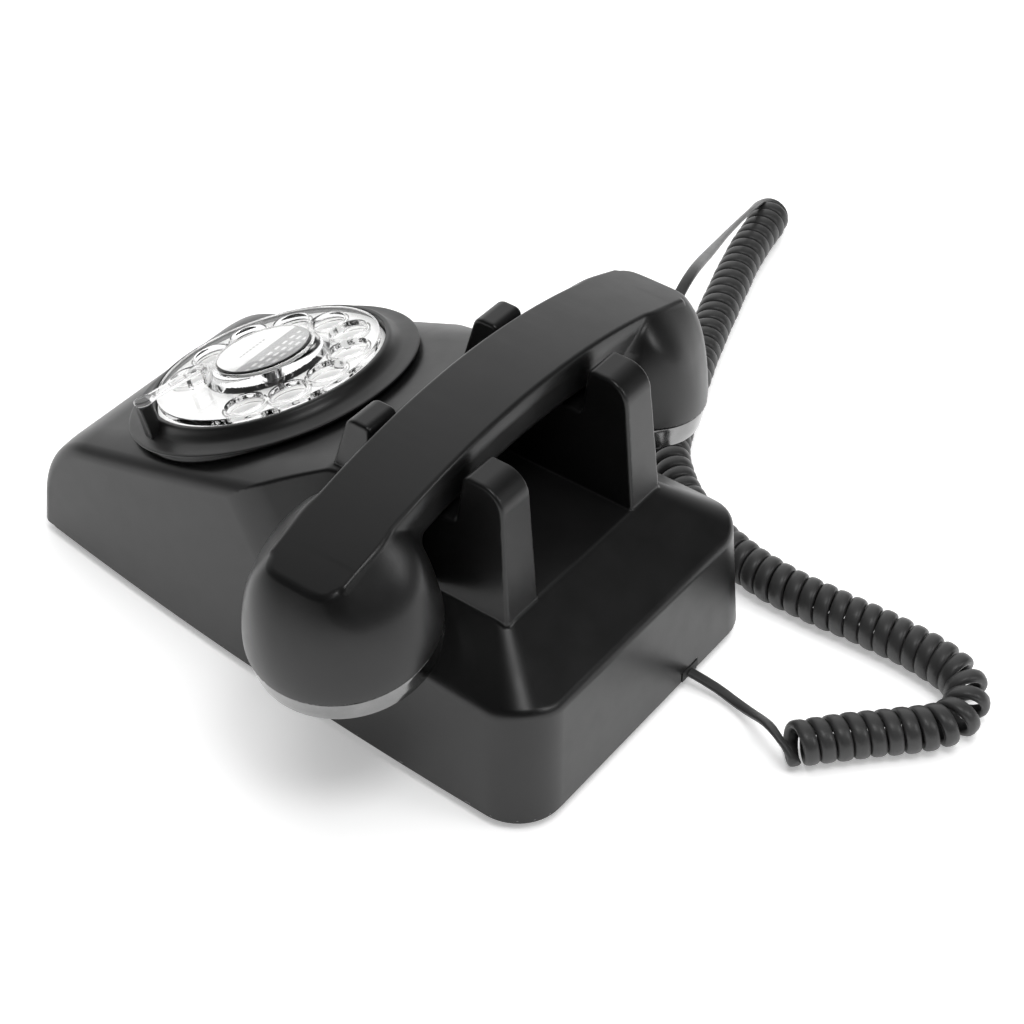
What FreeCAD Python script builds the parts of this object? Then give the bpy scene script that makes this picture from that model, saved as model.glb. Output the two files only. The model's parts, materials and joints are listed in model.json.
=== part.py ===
"""Rotary-dial desk telephone: handset on a four-eared cradle, clear finger wheel, bell, coiled cord.

Frame: +X is the user's right, +Y is the back, +Z is up. The origin is the middle of the footprint on
the table. Lengths are millimetres.
"""
import FreeCAD, Part
import os
from math import atan2, cos, degrees, hypot, pi, radians, sin, sqrt, tan

V = FreeCAD.Vector
os.makedirs("parts", exist_ok=True)

# Driving dimensions of the case
case_bottom_z = 4.0
wall = 2.6
front_y = -128.0
rear_y = 128.0
front_half_width = 57.8
rear_half_width = 75.0
side_bulge = 4.0
front_corner_r = 7.0
rear_corner_r = 20.0
draft = tan(radians(4.3))
prism_top_z = 132.0
lip_r = 36.0
top_edge_r = 5.0
ridge_z = 51.6
deck_z = 69.4
deck_half_width = 48.2
deck_rear_y = 96.4
hip_front_y = -8.0
hip_overlap = 3.0
front_wall_y = 32.8
brow_y = 17.5

# The dial stands on the sloping top
dial_y = -50.5
dial_z = 78.6
dial_tilt = 21.2
seat_gap = 3.2
boss_top = -2.0
boss_r = 55.0
flange_r = 58.4
drum_r = 48.4
drum_top = 5.6
dial_hole_r = 43.2
wheel_r = 44.8
wheel_low = 4.4
wheel_top = 6.9
finger_hole_r = 7.4
finger_pitch_r = 33.0
first_hole_deg = 27.0
hole_step_deg = 30.0
stop_deg = -22.0
stop_top = 13.4
shaft_r = 3.0

# Gear train under the dial
gear_module = 0.8
wheel_teeth = 48
pinion_teeth = 12
pinion_direction_deg = 150.0
mesh_slack = 0.15

# Cradle ears and saddles
wall_inner_x = 29.1
wall_outer_low_x = 47.6
wall_outer_top_x = 44.6
saddle_z = 103.2
ear_top_z = 124.0
handset_y = 52.5

# Handset
strip_half_width = 17.3
strip_half_angle = 20.2
arch_top_z = 128.5
arch_r = 297.0
handle_depth = 21.0
cup_x = 83.6
cup_z = 72.9
cup_r = 35.2
cup_height = 42.4
cup_tilt = 12.0
cap_depth = 9.0
cap_r = 34.6
cap_face_r = 33.0

relief_z = 88.0
relief_r = 3.4
relief_in_x = 106.0
relief_out_x = 118.5
relief_end_x = 120.1

# Fittings inside and under the case
plunger_x = 38.0
plunger_r = 3.2
plunger_low = 64.5
plunger_top = 104.0
hook_pin_y = 84.0
hook_pin_z = 58.6
gong_x = 28.0
gong_y = -45.0
board_z = 10.0
board_edges = (-46.0, 46.0, 22.0, 75.0)
board_posts = [(sx * 40.0, y) for sx in (-1, 1) for y in (27.0, 70.0)]
screw_places = [(sx * x, y) for sx in (-1, 1) for x, y in ((44.0, -112.0), (56.0, 106.0))]
feet_places = [(sx * x, y) for sx in (-1, 1) for x, y in ((40.0, -95.0), (54.0, 87.0))]
web_reach = 1.2
switch_x = 0.0
switch_y = -88.0
gland_x = -28.0
gland_half = 5.0
gland_top = 8.8
gland_cord_z = 5.9
socket_x = 73.0
socket_y0, socket_y1 = 60.0, 76.0
socket_z0, socket_z1 = 5.0, 19.0

# Cords
coil_d = 17.0
tail_d = 4.4
coil_z = coil_d / 2

SIDES = (("right", 1), ("left", -1))


def box(x0, x1, y0, y1, z0, z1):
    return Part.makeBox(x1 - x0, y1 - y0, z1 - z0, V(x0, y0, z0))


def rod(r, start, end):
    start = V(*start)
    along = V(*end) - start
    return Part.makeCylinder(r, along.Length, start, along)


def disc(r, low, high, x=0.0, y=0.0):
    return rod(r, (x, y, low), (x, y, high))


def ring(r_out, r_in, low, high, x=0.0, y=0.0):
    return disc(r_out, low, high, x, y).cut(disc(r_in, low - 1, high + 1, x, y))


def face_of(points):
    points = [V(*p) for p in points]
    return Part.Face(Part.makePolygon(points + points[:1]))


def turned(profile):
    """Solid of revolution about Z from (radius, height) points."""
    return face_of([(r, 0, h) for r, h in profile]).revolve(V(0, 0, 0), V(0, 0, 1), 360)


def joined(shapes):
    first = shapes[0]
    return first.fuse(shapes[1:]).removeSplitter() if len(shapes) > 1 else first


def group(shapes):
    return Part.makeCompound(shapes)


def save(name, shape):
    if not shape.isValid():
        print("INVALID", name)
    shape.exportStep("parts/" + name + ".step")
    box_size = shape.BoundBox
    print("%-22s solids %d  volume %9.0f  z %.1f to %.1f" % (
        name, len(shape.Solids), shape.Volume, box_size.ZMin, box_size.ZMax))


def mirrored(shape):
    return shape.mirror(V(0, 0, 0), V(1, 0, 0))


def on_dial(shape):
    """Move a shape made about Z with its flange plane at height 0 on to the dial's tilted axis."""
    placed = shape.copy()
    placed.rotate(V(0, 0, 0), V(1, 0, 0), dial_tilt)
    placed.translate(V(0, dial_y, dial_z))
    return placed


def polar(r, deg):
    return r * cos(radians(deg)), r * sin(radians(deg))


def half_space(point, normal):
    """Large block on the positive side of a plane."""
    block = Part.makeBox(600, 600, 300, V(-300, -300, 0))
    block.Placement = FreeCAD.Placement(V(*point), FreeCAD.Rotation(V(0, 0, 1), V(*normal)))
    return block


# ---------------------------------------------------------------- case

def plan_wire(z, inset):
    """Plan outline of the case at height z: straight front and back, gently bowed sides."""
    half_front = front_half_width - inset
    half_rear = rear_half_width - inset
    y0 = front_y + inset
    y1 = rear_y - inset
    rf = max(front_corner_r - inset * 0.3, 2.0)
    rr = max(rear_corner_r - inset, 4.0)
    side_mid = ((half_front + half_rear) / 2 + side_bulge, (y0 + y1) / 2 + 3)
    slant = sqrt(0.5)
    edges = []

    def line(a, b):
        edges.append(Part.LineSegment(V(a[0], a[1], z), V(b[0], b[1], z)).toShape())

    def arc(a, m, b):
        edges.append(Part.Arc(V(a[0], a[1], z), V(m[0], m[1], z), V(b[0], b[1], z)).toShape())

    line((-half_front + rf, y0), (half_front - rf, y0))
    arc((half_front - rf, y0), (half_front - rf + rf * slant, y0 + rf - rf * slant), (half_front, y0 + rf))
    arc((half_front, y0 + rf), side_mid, (half_rear, y1 - rr))
    arc((half_rear, y1 - rr), (half_rear - rr + rr * slant, y1 - rr + rr * slant), (half_rear - rr, y1))
    line((half_rear - rr, y1), (-half_rear + rr, y1))
    arc((-half_rear + rr, y1), (-half_rear + rr - rr * slant, y1 - rr + rr * slant), (-half_rear, y1 - rr))
    arc((-half_rear, y1 - rr), (-side_mid[0], side_mid[1]), (-half_front, y0 + rf))
    arc((-half_front, y0 + rf), (-half_front + rf - rf * slant, y0 + rf - rf * slant),
        (-half_front + rf, y0))
    return Part.Wire(edges)


def plan_prism(z0, z1, inset):
    """Drafted block between two heights."""
    low = plan_wire(z0, inset + draft * (z0 - case_bottom_z))
    high = plan_wire(z1, inset + draft * (z1 - case_bottom_z))
    return Part.makeLoft([low, high], True, True)


def top_height(y, inset=0.0):
    """Height of the flat sloping top at y."""
    drop = (seat_gap + inset) / cos(radians(dial_tilt))
    return dial_z - drop + (y - dial_y) * tan(radians(dial_tilt))


def wedge_block(inset):
    """Front wedge: vertical lip, large lip arc, straight slope, level brow and the wall behind it."""
    tilt = radians(dial_tilt)
    face_y = front_y + inset
    r = lip_r - inset
    centre_y = face_y + r
    slope_y = centre_y - r * sin(tilt)
    slope_z = top_height(slope_y, inset)
    centre_z = slope_z - r * cos(tilt)
    middle = radians(180 - (90 - dial_tilt) / 2)
    low = case_bottom_z - (10 if inset else 0)
    back_y = front_wall_y - inset
    brow_z = top_height(brow_y, inset)
    foot = V(-100, face_y, low)
    lip_start = V(-100, face_y, centre_z)
    lip_middle = V(-100, centre_y + r * cos(middle), centre_z + r * sin(middle))
    slope = V(-100, slope_y, slope_z)
    corners = [slope, V(-100, brow_y, brow_z), V(-100, back_y, brow_z), V(-100, back_y, low), foot]
    edges = [Part.LineSegment(foot, lip_start).toShape(), Part.Arc(lip_start, lip_middle, slope).toShape()]
    edges += [Part.LineSegment(a, b).toShape() for a, b in zip(corners, corners[1:])]
    return Part.Face(Part.Wire(edges)).extrude(V(200, 0, 0))


def rounded_plan(z, y0, half_front, y1, half_rear, r):
    """Four-sided outline whose two rear corners are arcs."""
    slant = sqrt(0.5)
    p = [(-half_front, y0), (half_front, y0), (half_rear, y1 - r), (half_rear - r, y1),
         (-half_rear + r, y1), (-half_rear, y1 - r)]
    p = [V(x, y, z) for x, y in p]
    bend = r - r * slant
    right = V(half_rear - bend, y1 - bend, z)
    left = V(-half_rear + bend, y1 - bend, z)
    edges = [Part.LineSegment(p[0], p[1]).toShape(), Part.LineSegment(p[1], p[2]).toShape(),
             Part.Arc(p[2], right, p[3]).toShape(), Part.LineSegment(p[3], p[4]).toShape(),
             Part.Arc(p[4], left, p[5]).toShape(), Part.LineSegment(p[5], p[0]).toShape()]
    return Part.Wire(edges)


def cheek_cutters(inset):
    """Blocks that narrow the wedge beside the front ears, one on each side."""
    start = V(63.5, -10.5, 83.0)
    ear = V(49.3, brow_y, 101.0)
    ridge = V(68.5, 9.0, ridge_z)
    normal = (ridge - start).cross(ear - start)
    normal.normalize()
    if normal.x < 0:
        normal = normal * -1
    point = start - normal * inset
    right = half_space(point, normal)
    return [right, mirrored(right)]


def hip_block(inset):
    """Sloping shoulders that rise from below the ridge to the level deck behind the cradle."""
    ridge_half = rear_half_width - draft * (ridge_z - case_bottom_z)
    ridge_rear = rear_y - draft * (ridge_z - case_bottom_z)
    rise = deck_z - ridge_z
    spread_x = (ridge_half - deck_half_width) / rise * hip_overlap
    spread_y = (ridge_rear - deck_rear_y) / rise * hip_overlap
    low = rounded_plan(ridge_z - hip_overlap - inset, hip_front_y, ridge_half - 4 - inset,
                       ridge_rear + spread_y - inset, ridge_half + spread_x - inset, rear_corner_r)
    high = rounded_plan(deck_z - inset, hip_front_y, deck_half_width - inset, deck_rear_y - inset,
                        deck_half_width - inset, 6.0)
    return Part.makeLoft([low, high], True, True)


def top_side_edges(shape):
    """Edges where the wedge's top meets its sides."""
    found = []
    for edge in shape.Edges:
        middle = edge.valueAt((edge.FirstParameter + edge.LastParameter) / 2)
        ends = [v.Point for v in edge.Vertexes]
        if len(ends) < 2 or abs(middle.x) < front_half_width - 12:
            continue
        on_top = all(p.z > top_height(p.y) - 14 and p.z > 22 for p in ends + [middle])
        if on_top and abs(ends[0].x - ends[1].x) < 20 and middle.y < brow_y:
            found.append(edge)
    return found


def case_form(inset):
    """Outer form of the case, or the hollow inside it when the inset is the wall thickness."""
    floor = case_bottom_z - (5 if inset else 0)
    wedge = plan_prism(floor, prism_top_z, inset).common(wedge_block(inset))
    if not inset:
        wedge = wedge.makeFillet(top_edge_r, top_side_edges(wedge))
    for cutter in cheek_cutters(inset):
        wedge = wedge.cut(cutter)
    rear_zone = Part.makeBox(200, 300, 200, V(-100, -60 + inset, -20))
    plinth = plan_prism(floor, ridge_z - 1.5 - inset, inset).common(rear_zone)
    hips = hip_block(inset).common(plan_prism(floor, prism_top_z, inset))
    return joined([wedge, plinth, hips])


def cradle_profile(inset):
    """Side outline of one cradle wall: front ear, saddle for the handle, rear ear."""
    top = ear_top_z - inset
    low = deck_z - 8
    front = [(brow_y + inset, low), (brow_y + inset, top_height(brow_y)), (22.4 + inset, top - 3.6)]
    edges = []

    def at(p):
        return V(0, p[0], p[1])

    def line(a, b):
        edges.append(Part.LineSegment(at(a), at(b)).toShape())

    def arc(a, m, b):
        edges.append(Part.Arc(at(a), at(m), at(b)).toShape())

    line(front[0], front[1])
    line(front[1], front[2])
    arc(front[2], (23.6 + inset, top - 1.1), (26.4, top))
    line((26.4, top), (31.0 - inset, top))
    arc((31.0 - inset, top), (32.9 - inset, top - 0.8), (33.7 - inset, top - 2.7))
    line((33.7 - inset, top - 2.7), (35.4 - inset, saddle_z - inset))
    line((35.4 - inset, saddle_z - inset), (71.6 + inset, saddle_z - inset))
    line((71.6 + inset, saddle_z - inset), (73.4 + inset, top - 2.7))
    arc((73.4 + inset, top - 2.7), (74.2 + inset, top - 0.8), (76.1 + inset, top))
    line((76.1 + inset, top), (80.0 - inset, top))
    arc((80.0 - inset, top), (88.3 - inset, top - 2.6), (91.4 - inset, top - 9.0))
    line((91.4 - inset, top - 9.0), (deck_rear_y - inset, deck_z))
    line((deck_rear_y - inset, deck_z), (deck_rear_y - inset, low))
    line((deck_rear_y - inset, low), front[0])
    return Part.Wire(edges)


def cradle_wall(inset):
    """Right-hand cradle wall, its outer side leaning in towards the top."""
    solid = Part.Face(cradle_profile(inset)).extrude(V(60, 0, 0))
    outer_low = wall_outer_low_x - inset
    outer_top = wall_outer_top_x - inset
    lean = (outer_low - outer_top) / (ear_top_z - deck_z)
    below = outer_low + lean * 30
    above = outer_top - lean * 10
    section = face_of([(wall_inner_x + inset, 0, deck_z - 30), (below, 0, deck_z - 30),
                       (above, 0, ear_top_z + 10), (wall_inner_x + inset, 0, ear_top_z + 10)])
    return solid.common(section.extrude(V(0, 200, 0)))


def make_case():
    outer = case_form(0)
    walls = cradle_wall(0)
    outer = joined([outer, walls, mirrored(walls)])
    boss = on_dial(disc(boss_r, -9.0, boss_top))
    outer = outer.fuse(boss).removeSplitter()
    inner = case_form(wall)
    hollow = cradle_wall(wall)
    hollow = hollow.common(box(-60, 60, 0, 120, 0, saddle_z - wall))
    shell = outer.cut(joined([inner, hollow, mirrored(hollow)]))
    shell = shell.cut(on_dial(disc(dial_hole_r, -30, 5)))
    for side, sign in SIDES:
        shell = shell.cut(disc(plunger_r + 0.1, saddle_z - 8, saddle_z + 8, sign * plunger_x, handset_y))
    shell = shell.cut(box(gland_x - gland_half, gland_x + gland_half, rear_y - 12, rear_y + 5, 0, gland_top))
    shell = shell.cut(box(-90, -60, socket_y0, socket_y1, socket_z0, socket_z1))
    bosses = []
    for x, y in screw_places:
        boss = disc(4.0, case_bottom_z, 30.0, x, y)
        web = box(x - 1, x + 1, min(y, web_reach * y), max(y, web_reach * y), case_bottom_z + 6, 24.0)
        bosses.append(boss.fuse(web.common(inner)))
    shell = joined([shell] + bosses)
    for x, y in screw_places:
        shell = shell.cut(disc(1.55, 0, 16.0, x, y))
    return shell


def make_base():
    low = 2.0
    plate = Part.Face(plan_wire(low, 1.4)).extrude(V(0, 0, case_bottom_z - low))
    posts = [disc(3.0, case_bottom_z, board_z, x, y) for x, y in board_posts]
    plate = joined([plate] + posts)
    for x, y in screw_places:
        plate = plate.cut(disc(1.7, -1, 10, x, y)).cut(disc(3.3, -1, 2.9, x, y))
    for x, y in board_posts:
        plate = plate.cut(disc(1.05, board_z - 4.5, board_z + 1, x, y))
    for x, y in feet_places:
        plate = plate.cut(disc(2.05, -1, 10, x, y))
    plate = plate.cut(box(switch_x - 9, switch_x + 9, switch_y - 2.2, switch_y + 2.2, -1, 10))
    save("base_plate", plate)
    feet = [disc(7.0, 0, low, x, y).fuse(disc(2.0, low, case_bottom_z, x, y)) for x, y in feet_places]
    save("feet", group(feet))
    save("base_screws", group([joined([disc(3.0, 2.1, 2.9, x, y), disc(1.5, 2.9, 14.0, x, y)])
                               for x, y in screw_places]))


# ---------------------------------------------------------------- dial

def make_dial():
    bezel = turned([(dial_hole_r + 2.0, boss_top), (flange_r - 0.8, boss_top + 0.5),
                    (flange_r, boss_top + 1.0), (flange_r, boss_top + 1.7),
                    (flange_r - 0.7, boss_top + 2.0), (54.5, 0.3), (51.6, 1.1),
                    (49.8, 2.6), (drum_r + 0.4, drum_top - 0.6), (drum_r - 0.3, drum_top),
                    (drum_r - 1.6, drum_top), (drum_r - 1.9, drum_top - 0.5), (drum_r - 1.9, 1.2),
                    (38.0, 1.2), (38.0, boss_top + 0.3), (dial_hole_r + 2.0, boss_top + 0.3)])
    save("dial_bezel", on_dial(bezel))
    save("number_plate", on_dial(ring(46.0, 5.2, 1.25, 2.05)))

    wheel = turned([(shaft_r + 0.05, wheel_low - 1.0), (6.0, wheel_low - 1.0), (6.0, wheel_low),
                    (wheel_r, wheel_low), (wheel_r, wheel_top - 0.5), (wheel_r - 0.5, wheel_top),
                    (25.0, wheel_top), (22.6, 8.2), (20.6, 11.9), (19.9, 12.2), (19.2, 11.9), (19.2, 10.2),
                    (shaft_r + 0.05, 10.2)])
    for k in range(10):
        x, y = polar(finger_pitch_r, first_hole_deg + k * hole_step_deg)
        wheel = wheel.cut(disc(finger_hole_r, 0, 20, x, y))
    save("finger_wheel", on_dial(wheel))
    save("label_disc", on_dial(disc(19.0, 10.25, 10.85)))
    save("label_cover", on_dial(turned([(0, 10.9), (19.0, 10.9), (19.0, 11.9), (18.4, 12.3), (0, 12.6)])))

    turn = V(0, 0, 1)
    bezel_filled = turned([(0, -3), (flange_r, -3), (flange_r, 0.05), (54.5, 0.35), (51.6, 1.15),
                           (49.8, 2.65), (drum_r + 0.45, drum_top - 0.55), (drum_r + 0.1, drum_top + 0.05),
                           (0, drum_top + 0.05)])
    peg = disc(1.6, stop_top - 0.4, stop_top + 0.8, drum_r + 2.3, 0)
    post = box(drum_r + 0.3, drum_r + 5.7, -3.6, 3.6, 0, stop_top).fuse(peg)
    post.rotate(V(0, 0, 0), turn, stop_deg)
    save("finger_stop", on_dial(post.cut(bezel_filled)))
    tip_x, tip_y = polar(26.5, -33.0)
    out_x, out_y = polar(drum_r + 2.3, stop_deg)
    slant = degrees(atan2(out_y - tip_y, out_x - tip_x))
    reach = hypot(out_x - tip_x, out_y - tip_y)
    low = stop_top + 0.1
    lug = joined([box(0, reach, -3.0, 3.0, low, low + 1.5), disc(3.0, low, low + 1.5),
                  disc(3.8, low, low + 1.9, reach, 0), box(-1.6, 5.0, -2.2, 2.2, 8.0, low + 0.1)])
    lug.rotate(V(0, 0, 0), turn, slant)
    lug.translate(V(tip_x, tip_y, 0))
    lug = lug.cut(disc(1.65, stop_top - 0.4, stop_top + 0.9, out_x, out_y))
    save("finger_stop_lug", on_dial(lug))


def gear(teeth, module, low, high, bore, phase_deg):
    """Spur gear whose trapezoid teeth are thinned for running slack."""
    pitch_r = teeth * module / 2
    tip_r = pitch_r + 0.85 * module
    root_r = pitch_r - 1.1 * module
    step = 2 * pi / teeth
    points = []
    for k in range(teeth):
        centre = radians(phase_deg) + k * step
        for r, share in ((root_r, -0.30), (pitch_r, -0.21), (tip_r, -0.09),
                         (tip_r, 0.09), (pitch_r, 0.21), (root_r, 0.30)):
            points.append((r * cos(centre + share * step), r * sin(centre + share * step), low))
    solid = face_of(points).extrude(V(0, 0, high - low))
    return solid.cut(disc(bore, low - 1, high + 1))


def make_mechanism():
    px, py = polar(gear_module * (wheel_teeth + pinion_teeth) / 2 + mesh_slack, pinion_direction_deg)
    frame_low, frame_high = -3.6, -1.75
    rear_low, rear_high = -26.0, -24.2
    posts = [polar(32.0, a) for a in (30, 100, 200, 300)]
    frame = disc(42.6, frame_low, frame_high)
    frame = joined([frame] + [disc(2.2, rear_high, frame_low, x, y) for x, y in posts])
    frame = frame.cut(disc(5.0, -10, 2)).cut(disc(1.55, -10, 2, px, py))
    save("dial_frame", on_dial(frame))
    save("dial_bearing", on_dial(ring(4.95, shaft_r + 0.05, frame_low, 1.9)))
    plate = disc(37.0, rear_low, rear_high)
    plate = plate.cut(disc(shaft_r + 0.05, -40, 0)).cut(disc(1.55, -40, 0, px, py))
    save("mechanism_plate", on_dial(plate))
    save("dial_shaft", on_dial(disc(shaft_r, rear_low, 10.15)))
    main = gear(wheel_teeth, gear_module, -9.0, -6.5, shaft_r + 0.02, pinion_direction_deg)
    save("main_gear", on_dial(main.fuse(ring(5.5, shaft_r + 0.02, -10.5, -9.0))))
    barrel = ring(14.6, 13.6, -24.1, -12.0).fuse(ring(14.6, shaft_r + 0.4, -24.1, -22.9))
    save("spring_barrel", on_dial(barrel))
    save("mainspring", on_dial(ring(13.2, 8.5, -22.6, -12.6)))
    half_tooth = 180.0 / pinion_teeth
    pinion = gear(pinion_teeth, gear_module, -9.4, -6.1, 1.5, pinion_direction_deg + 180 + half_tooth)
    pinion.translate(V(px, py, 0))
    save("governor_pinion", on_dial(pinion))
    save("governor_shaft", on_dial(disc(1.5, rear_low, frame_high, px, py)))
    weights = [ring(3.4, 1.5, -19.0, -14.0, px, py)]
    for sign in (1, -1):
        weights.append(disc(1.9, -18.5, -14.5, px, py + sign * 4.0).cut(disc(3.3, -30, 0, px, py)))
    save("governor_weights", on_dial(joined(weights)))
    cup = ring(8.6, 7.4, -24.1, -13.0, px, py)
    save("governor_cup", on_dial(cup.fuse(ring(8.6, 2.2, -24.1, -22.9, px, py))))
    cx, cy = polar(29.0, 62.0)
    leaves = [box(cx - 7, cx + 7, cy - 3 + 2.2 * k, cy - 2.6 + 2.2 * k, -16.0, -8.0) for k in range(3)]
    stack = box(cx + 3, cx + 8.5, cy - 4.5, cy + 3.2, -24.1, -12.0)
    save("pulse_contacts", on_dial(joined([stack] + leaves)))


# ---------------------------------------------------------------- hook switch

def make_hook():
    for side, sign in SIDES:
        x = sign * plunger_x
        button = joined([disc(plunger_r, plunger_low, plunger_top - 1.0, x, handset_y),
                         disc(plunger_r - 0.8, plunger_top - 1.0, plunger_top, x, handset_y),
                         disc(4.6, plunger_low, plunger_low + 1.6, x, handset_y)])
        save("plunger_" + side, button)
    top = plunger_low - 0.4
    arms = [box(sign * plunger_x - 3, sign * plunger_x + 3, handset_y - 5, hook_pin_y + 3, top - 2.4, top)
            for side, sign in SIDES]
    bar = box(-plunger_x - 3, plunger_x + 3, hook_pin_y - 6, hook_pin_y + 3, top - 2.4, top)
    barrel = [rod(3.4, (x, hook_pin_y, hook_pin_z), (x + 8, hook_pin_y, hook_pin_z)) for x in (-17, 9)]
    lift = [box(x, x + 8, hook_pin_y - 3, hook_pin_y + 3, hook_pin_z, top - 1.2) for x in (-17, 9)]
    finger = box(-2.5, 2.5, hook_pin_y - 16, hook_pin_y - 5, top - 2.4, top)
    lever = joined(arms + [bar, finger] + barrel + lift)
    lever = lever.cut(rod(1.55, (-60, hook_pin_y, hook_pin_z), (60, hook_pin_y, hook_pin_z)))
    save("hook_lever", lever)
    save("hook_pin", rod(1.5, (-25.5, hook_pin_y, hook_pin_z), (25.5, hook_pin_y, hook_pin_z)))
    legs = []
    for x in (-24.5, 19.5):
        leg = box(x, x + 5, hook_pin_y - 5, hook_pin_y + 5, case_bottom_z, hook_pin_z + 2.2)
        foot = box(x - 3, x + 8, hook_pin_y - 8, hook_pin_y + 8, case_bottom_z, case_bottom_z + 2)
        legs.append(leg.fuse(foot))
    tie = box(-24.5, 24.5, hook_pin_y + 2, hook_pin_y + 5, 30, 36)
    frame = joined(legs + [tie]).cut(rod(1.5, (-60, hook_pin_y, hook_pin_z), (60, hook_pin_y, hook_pin_z)))
    save("hook_frame", frame)
    coils = ring(2.9, 1.9, -6.0, 6.0)
    coils.rotate(V(0, 0, 0), V(0, 1, 0), 90)
    coils.translate(V(0, hook_pin_y, hook_pin_z))
    save("hook_spring", coils)
    stack = box(-7, 7, hook_pin_y - 26, hook_pin_y - 18, board_z + 1.6, 61.4)
    leaves = [box(-2.4, 2.4, hook_pin_y - 19, hook_pin_y - 8, z, z + 0.4) for z in (54.0, 57.3, 60.6)]
    save("hook_contacts", joined([stack] + leaves))


# ---------------------------------------------------------------- bell and board

def make_bell():
    floor = case_bottom_z
    frame = joined([box(-36, 36, gong_y - 8, gong_y + 8, floor, floor + 1.6),
                    box(-12, 12, gong_y - 8, gong_y + 62, floor, floor + 1.6)]
                   + [disc(3.0, floor, 27.4, sign * gong_x, gong_y) for side, sign in SIDES]
                   + [disc(3.0, floor, 15.9, 0, gong_y + 38)])
    for side, sign in SIDES:
        frame = frame.cut(disc(1.25, 20, 40, sign * gong_x, gong_y))
    frame = frame.cut(disc(1.0, 10, 40, 0, gong_y + 38))
    save("bell_frame", frame)
    for side, sign in SIDES:
        gong = turned([(1.6, 28.7), (8.0, 28.7), (17.0, 26.2), (22.6, 20.5), (24.0, 13.0), (22.8, 13.0),
                       (21.5, 20.0), (16.4, 25.0), (7.8, 27.5), (1.6, 27.5)])
        gong.translate(V(sign * gong_x, gong_y, 0))
        save("gong_" + side, gong)
    screws = [joined([disc(3.4, 28.8, 30.6, sign * gong_x, gong_y),
                      disc(1.2, 21.0, 28.8, sign * gong_x, gong_y)])
              for side, sign in SIDES]
    save("gong_screws", group(screws))
    pivot_y = gong_y + 38
    arm = joined([box(-0.9, 0.9, gong_y, pivot_y, 17.4, 19.2), disc(2.8, 15.2, 20.6, 0, gong_y),
                  ring(3.4, 1.05, 16.0, 20.0, 0, pivot_y),
                  box(-1.8, 1.8, pivot_y + 2, pivot_y + 13, 16.5, 19.5)])
    arm = arm.cut(disc(1.05, 10, 30, 0, pivot_y))
    save("clapper", arm)
    save("clapper_pin", disc(0.99, 11.0, 22.0, 0, pivot_y))
    coil_y = gong_y + 56
    coils = []
    for sign in (1, -1):
        coils.append(rod(7.5, (sign * 4.2, coil_y, 13.4), (sign * 20, coil_y, 13.4)))
    core = box(-22, 22, coil_y - 2.5, coil_y + 2.5, 21.2, 24.2)
    ends = [box(sign * 21 - 1, sign * 21 + 1, coil_y - 4, coil_y + 4, floor + 1.6, 24.2)
            for side, sign in SIDES]
    save("bell_coil", group(coils))
    save("bell_yoke", joined([core] + ends + [box(-22, 22, coil_y - 4, coil_y + 4, floor, floor + 1.6)])
         .cut(box(-12.1, 12.1, gong_y - 8, gong_y + 62.1, 0, floor + 1.6)))


def make_board():
    x0, x1, y0, y1 = board_edges
    board = box(x0, x1, y0, y1, board_z, board_z + 1.6)
    for x, y in board_posts:
        board = board.cut(disc(1.2, 0, 40, x, y))
    save("circuit_board", board)
    top = board_z + 1.6
    save("board_screws", group([joined([disc(2.2, top, top + 1.4, x, y), disc(1.0, board_z - 4, top, x, y)])
                                for x, y in board_posts]))
    save("speech_transformer", box(-40, -24, 40, 54, top, top + 15))
    cans = [disc(4.0, top, top + 13, 24 + 10 * k, 42) for k in range(2)]
    save("capacitors", group(cans))
    save("dialler_chip", box(20, 38, 54, 61, top, top + 3.5))


def make_sockets():
    socket = box(-socket_x, -socket_x + 15, socket_y0 + 0.2, socket_y1 - 0.2,
                 socket_z0 + 0.2, socket_z1 - 0.2)
    mouth = box(-socket_x - 1, -socket_x + 11, socket_y0 + 2.2, socket_y1 - 2.2,
                socket_z0 + 2.2, socket_z1 - 2.2)
    save("line_socket", socket.cut(mouth))
    x0, x1 = gland_x - gland_half + 0.15, gland_x + gland_half - 0.15
    gland = joined([box(x0, x1, rear_y - 9, rear_y, case_bottom_z, gland_top - 0.2)])
    save("cord_gland", gland)
    knob = joined([box(switch_x - 4, switch_x + 4, switch_y - 2.0, switch_y + 2.0, 1.0, 6.4),
                   box(switch_x - 6, switch_x + 6, switch_y - 3.6, switch_y + 3.6, 4.2, 6.4)])
    save("bell_switch", knob)


# ---------------------------------------------------------------- handset

def on_cup(shape, sign):
    """Move a shape made about Z, with the cup's rim plane at height 0, on to one end of the handset."""
    placed = shape.copy()
    placed.rotate(V(0, 0, 0), V(0, 1, 0), sign * cup_tilt)
    placed.translate(V(sign * cup_x, handset_y, cup_z))
    return placed


def cup_dome(r, height):
    """Half-ellipsoid over the rim plane."""
    points = []
    steps = 10
    for k in range(steps + 1):
        a = pi / 2 * k / steps
        points.append(V(r * cos(a), 0, height * sin(a)))
    curve = Part.BSplineCurve()
    curve.interpolate(points)
    edges = [curve.toShape(), Part.LineSegment(points[-1], V(0, 0, 0)).toShape(),
             Part.LineSegment(V(0, 0, 0), points[0]).toShape()]
    return Part.Face(Part.Wire(edges)).revolve(V(0, 0, 0), V(0, 0, 1), 360)


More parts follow.
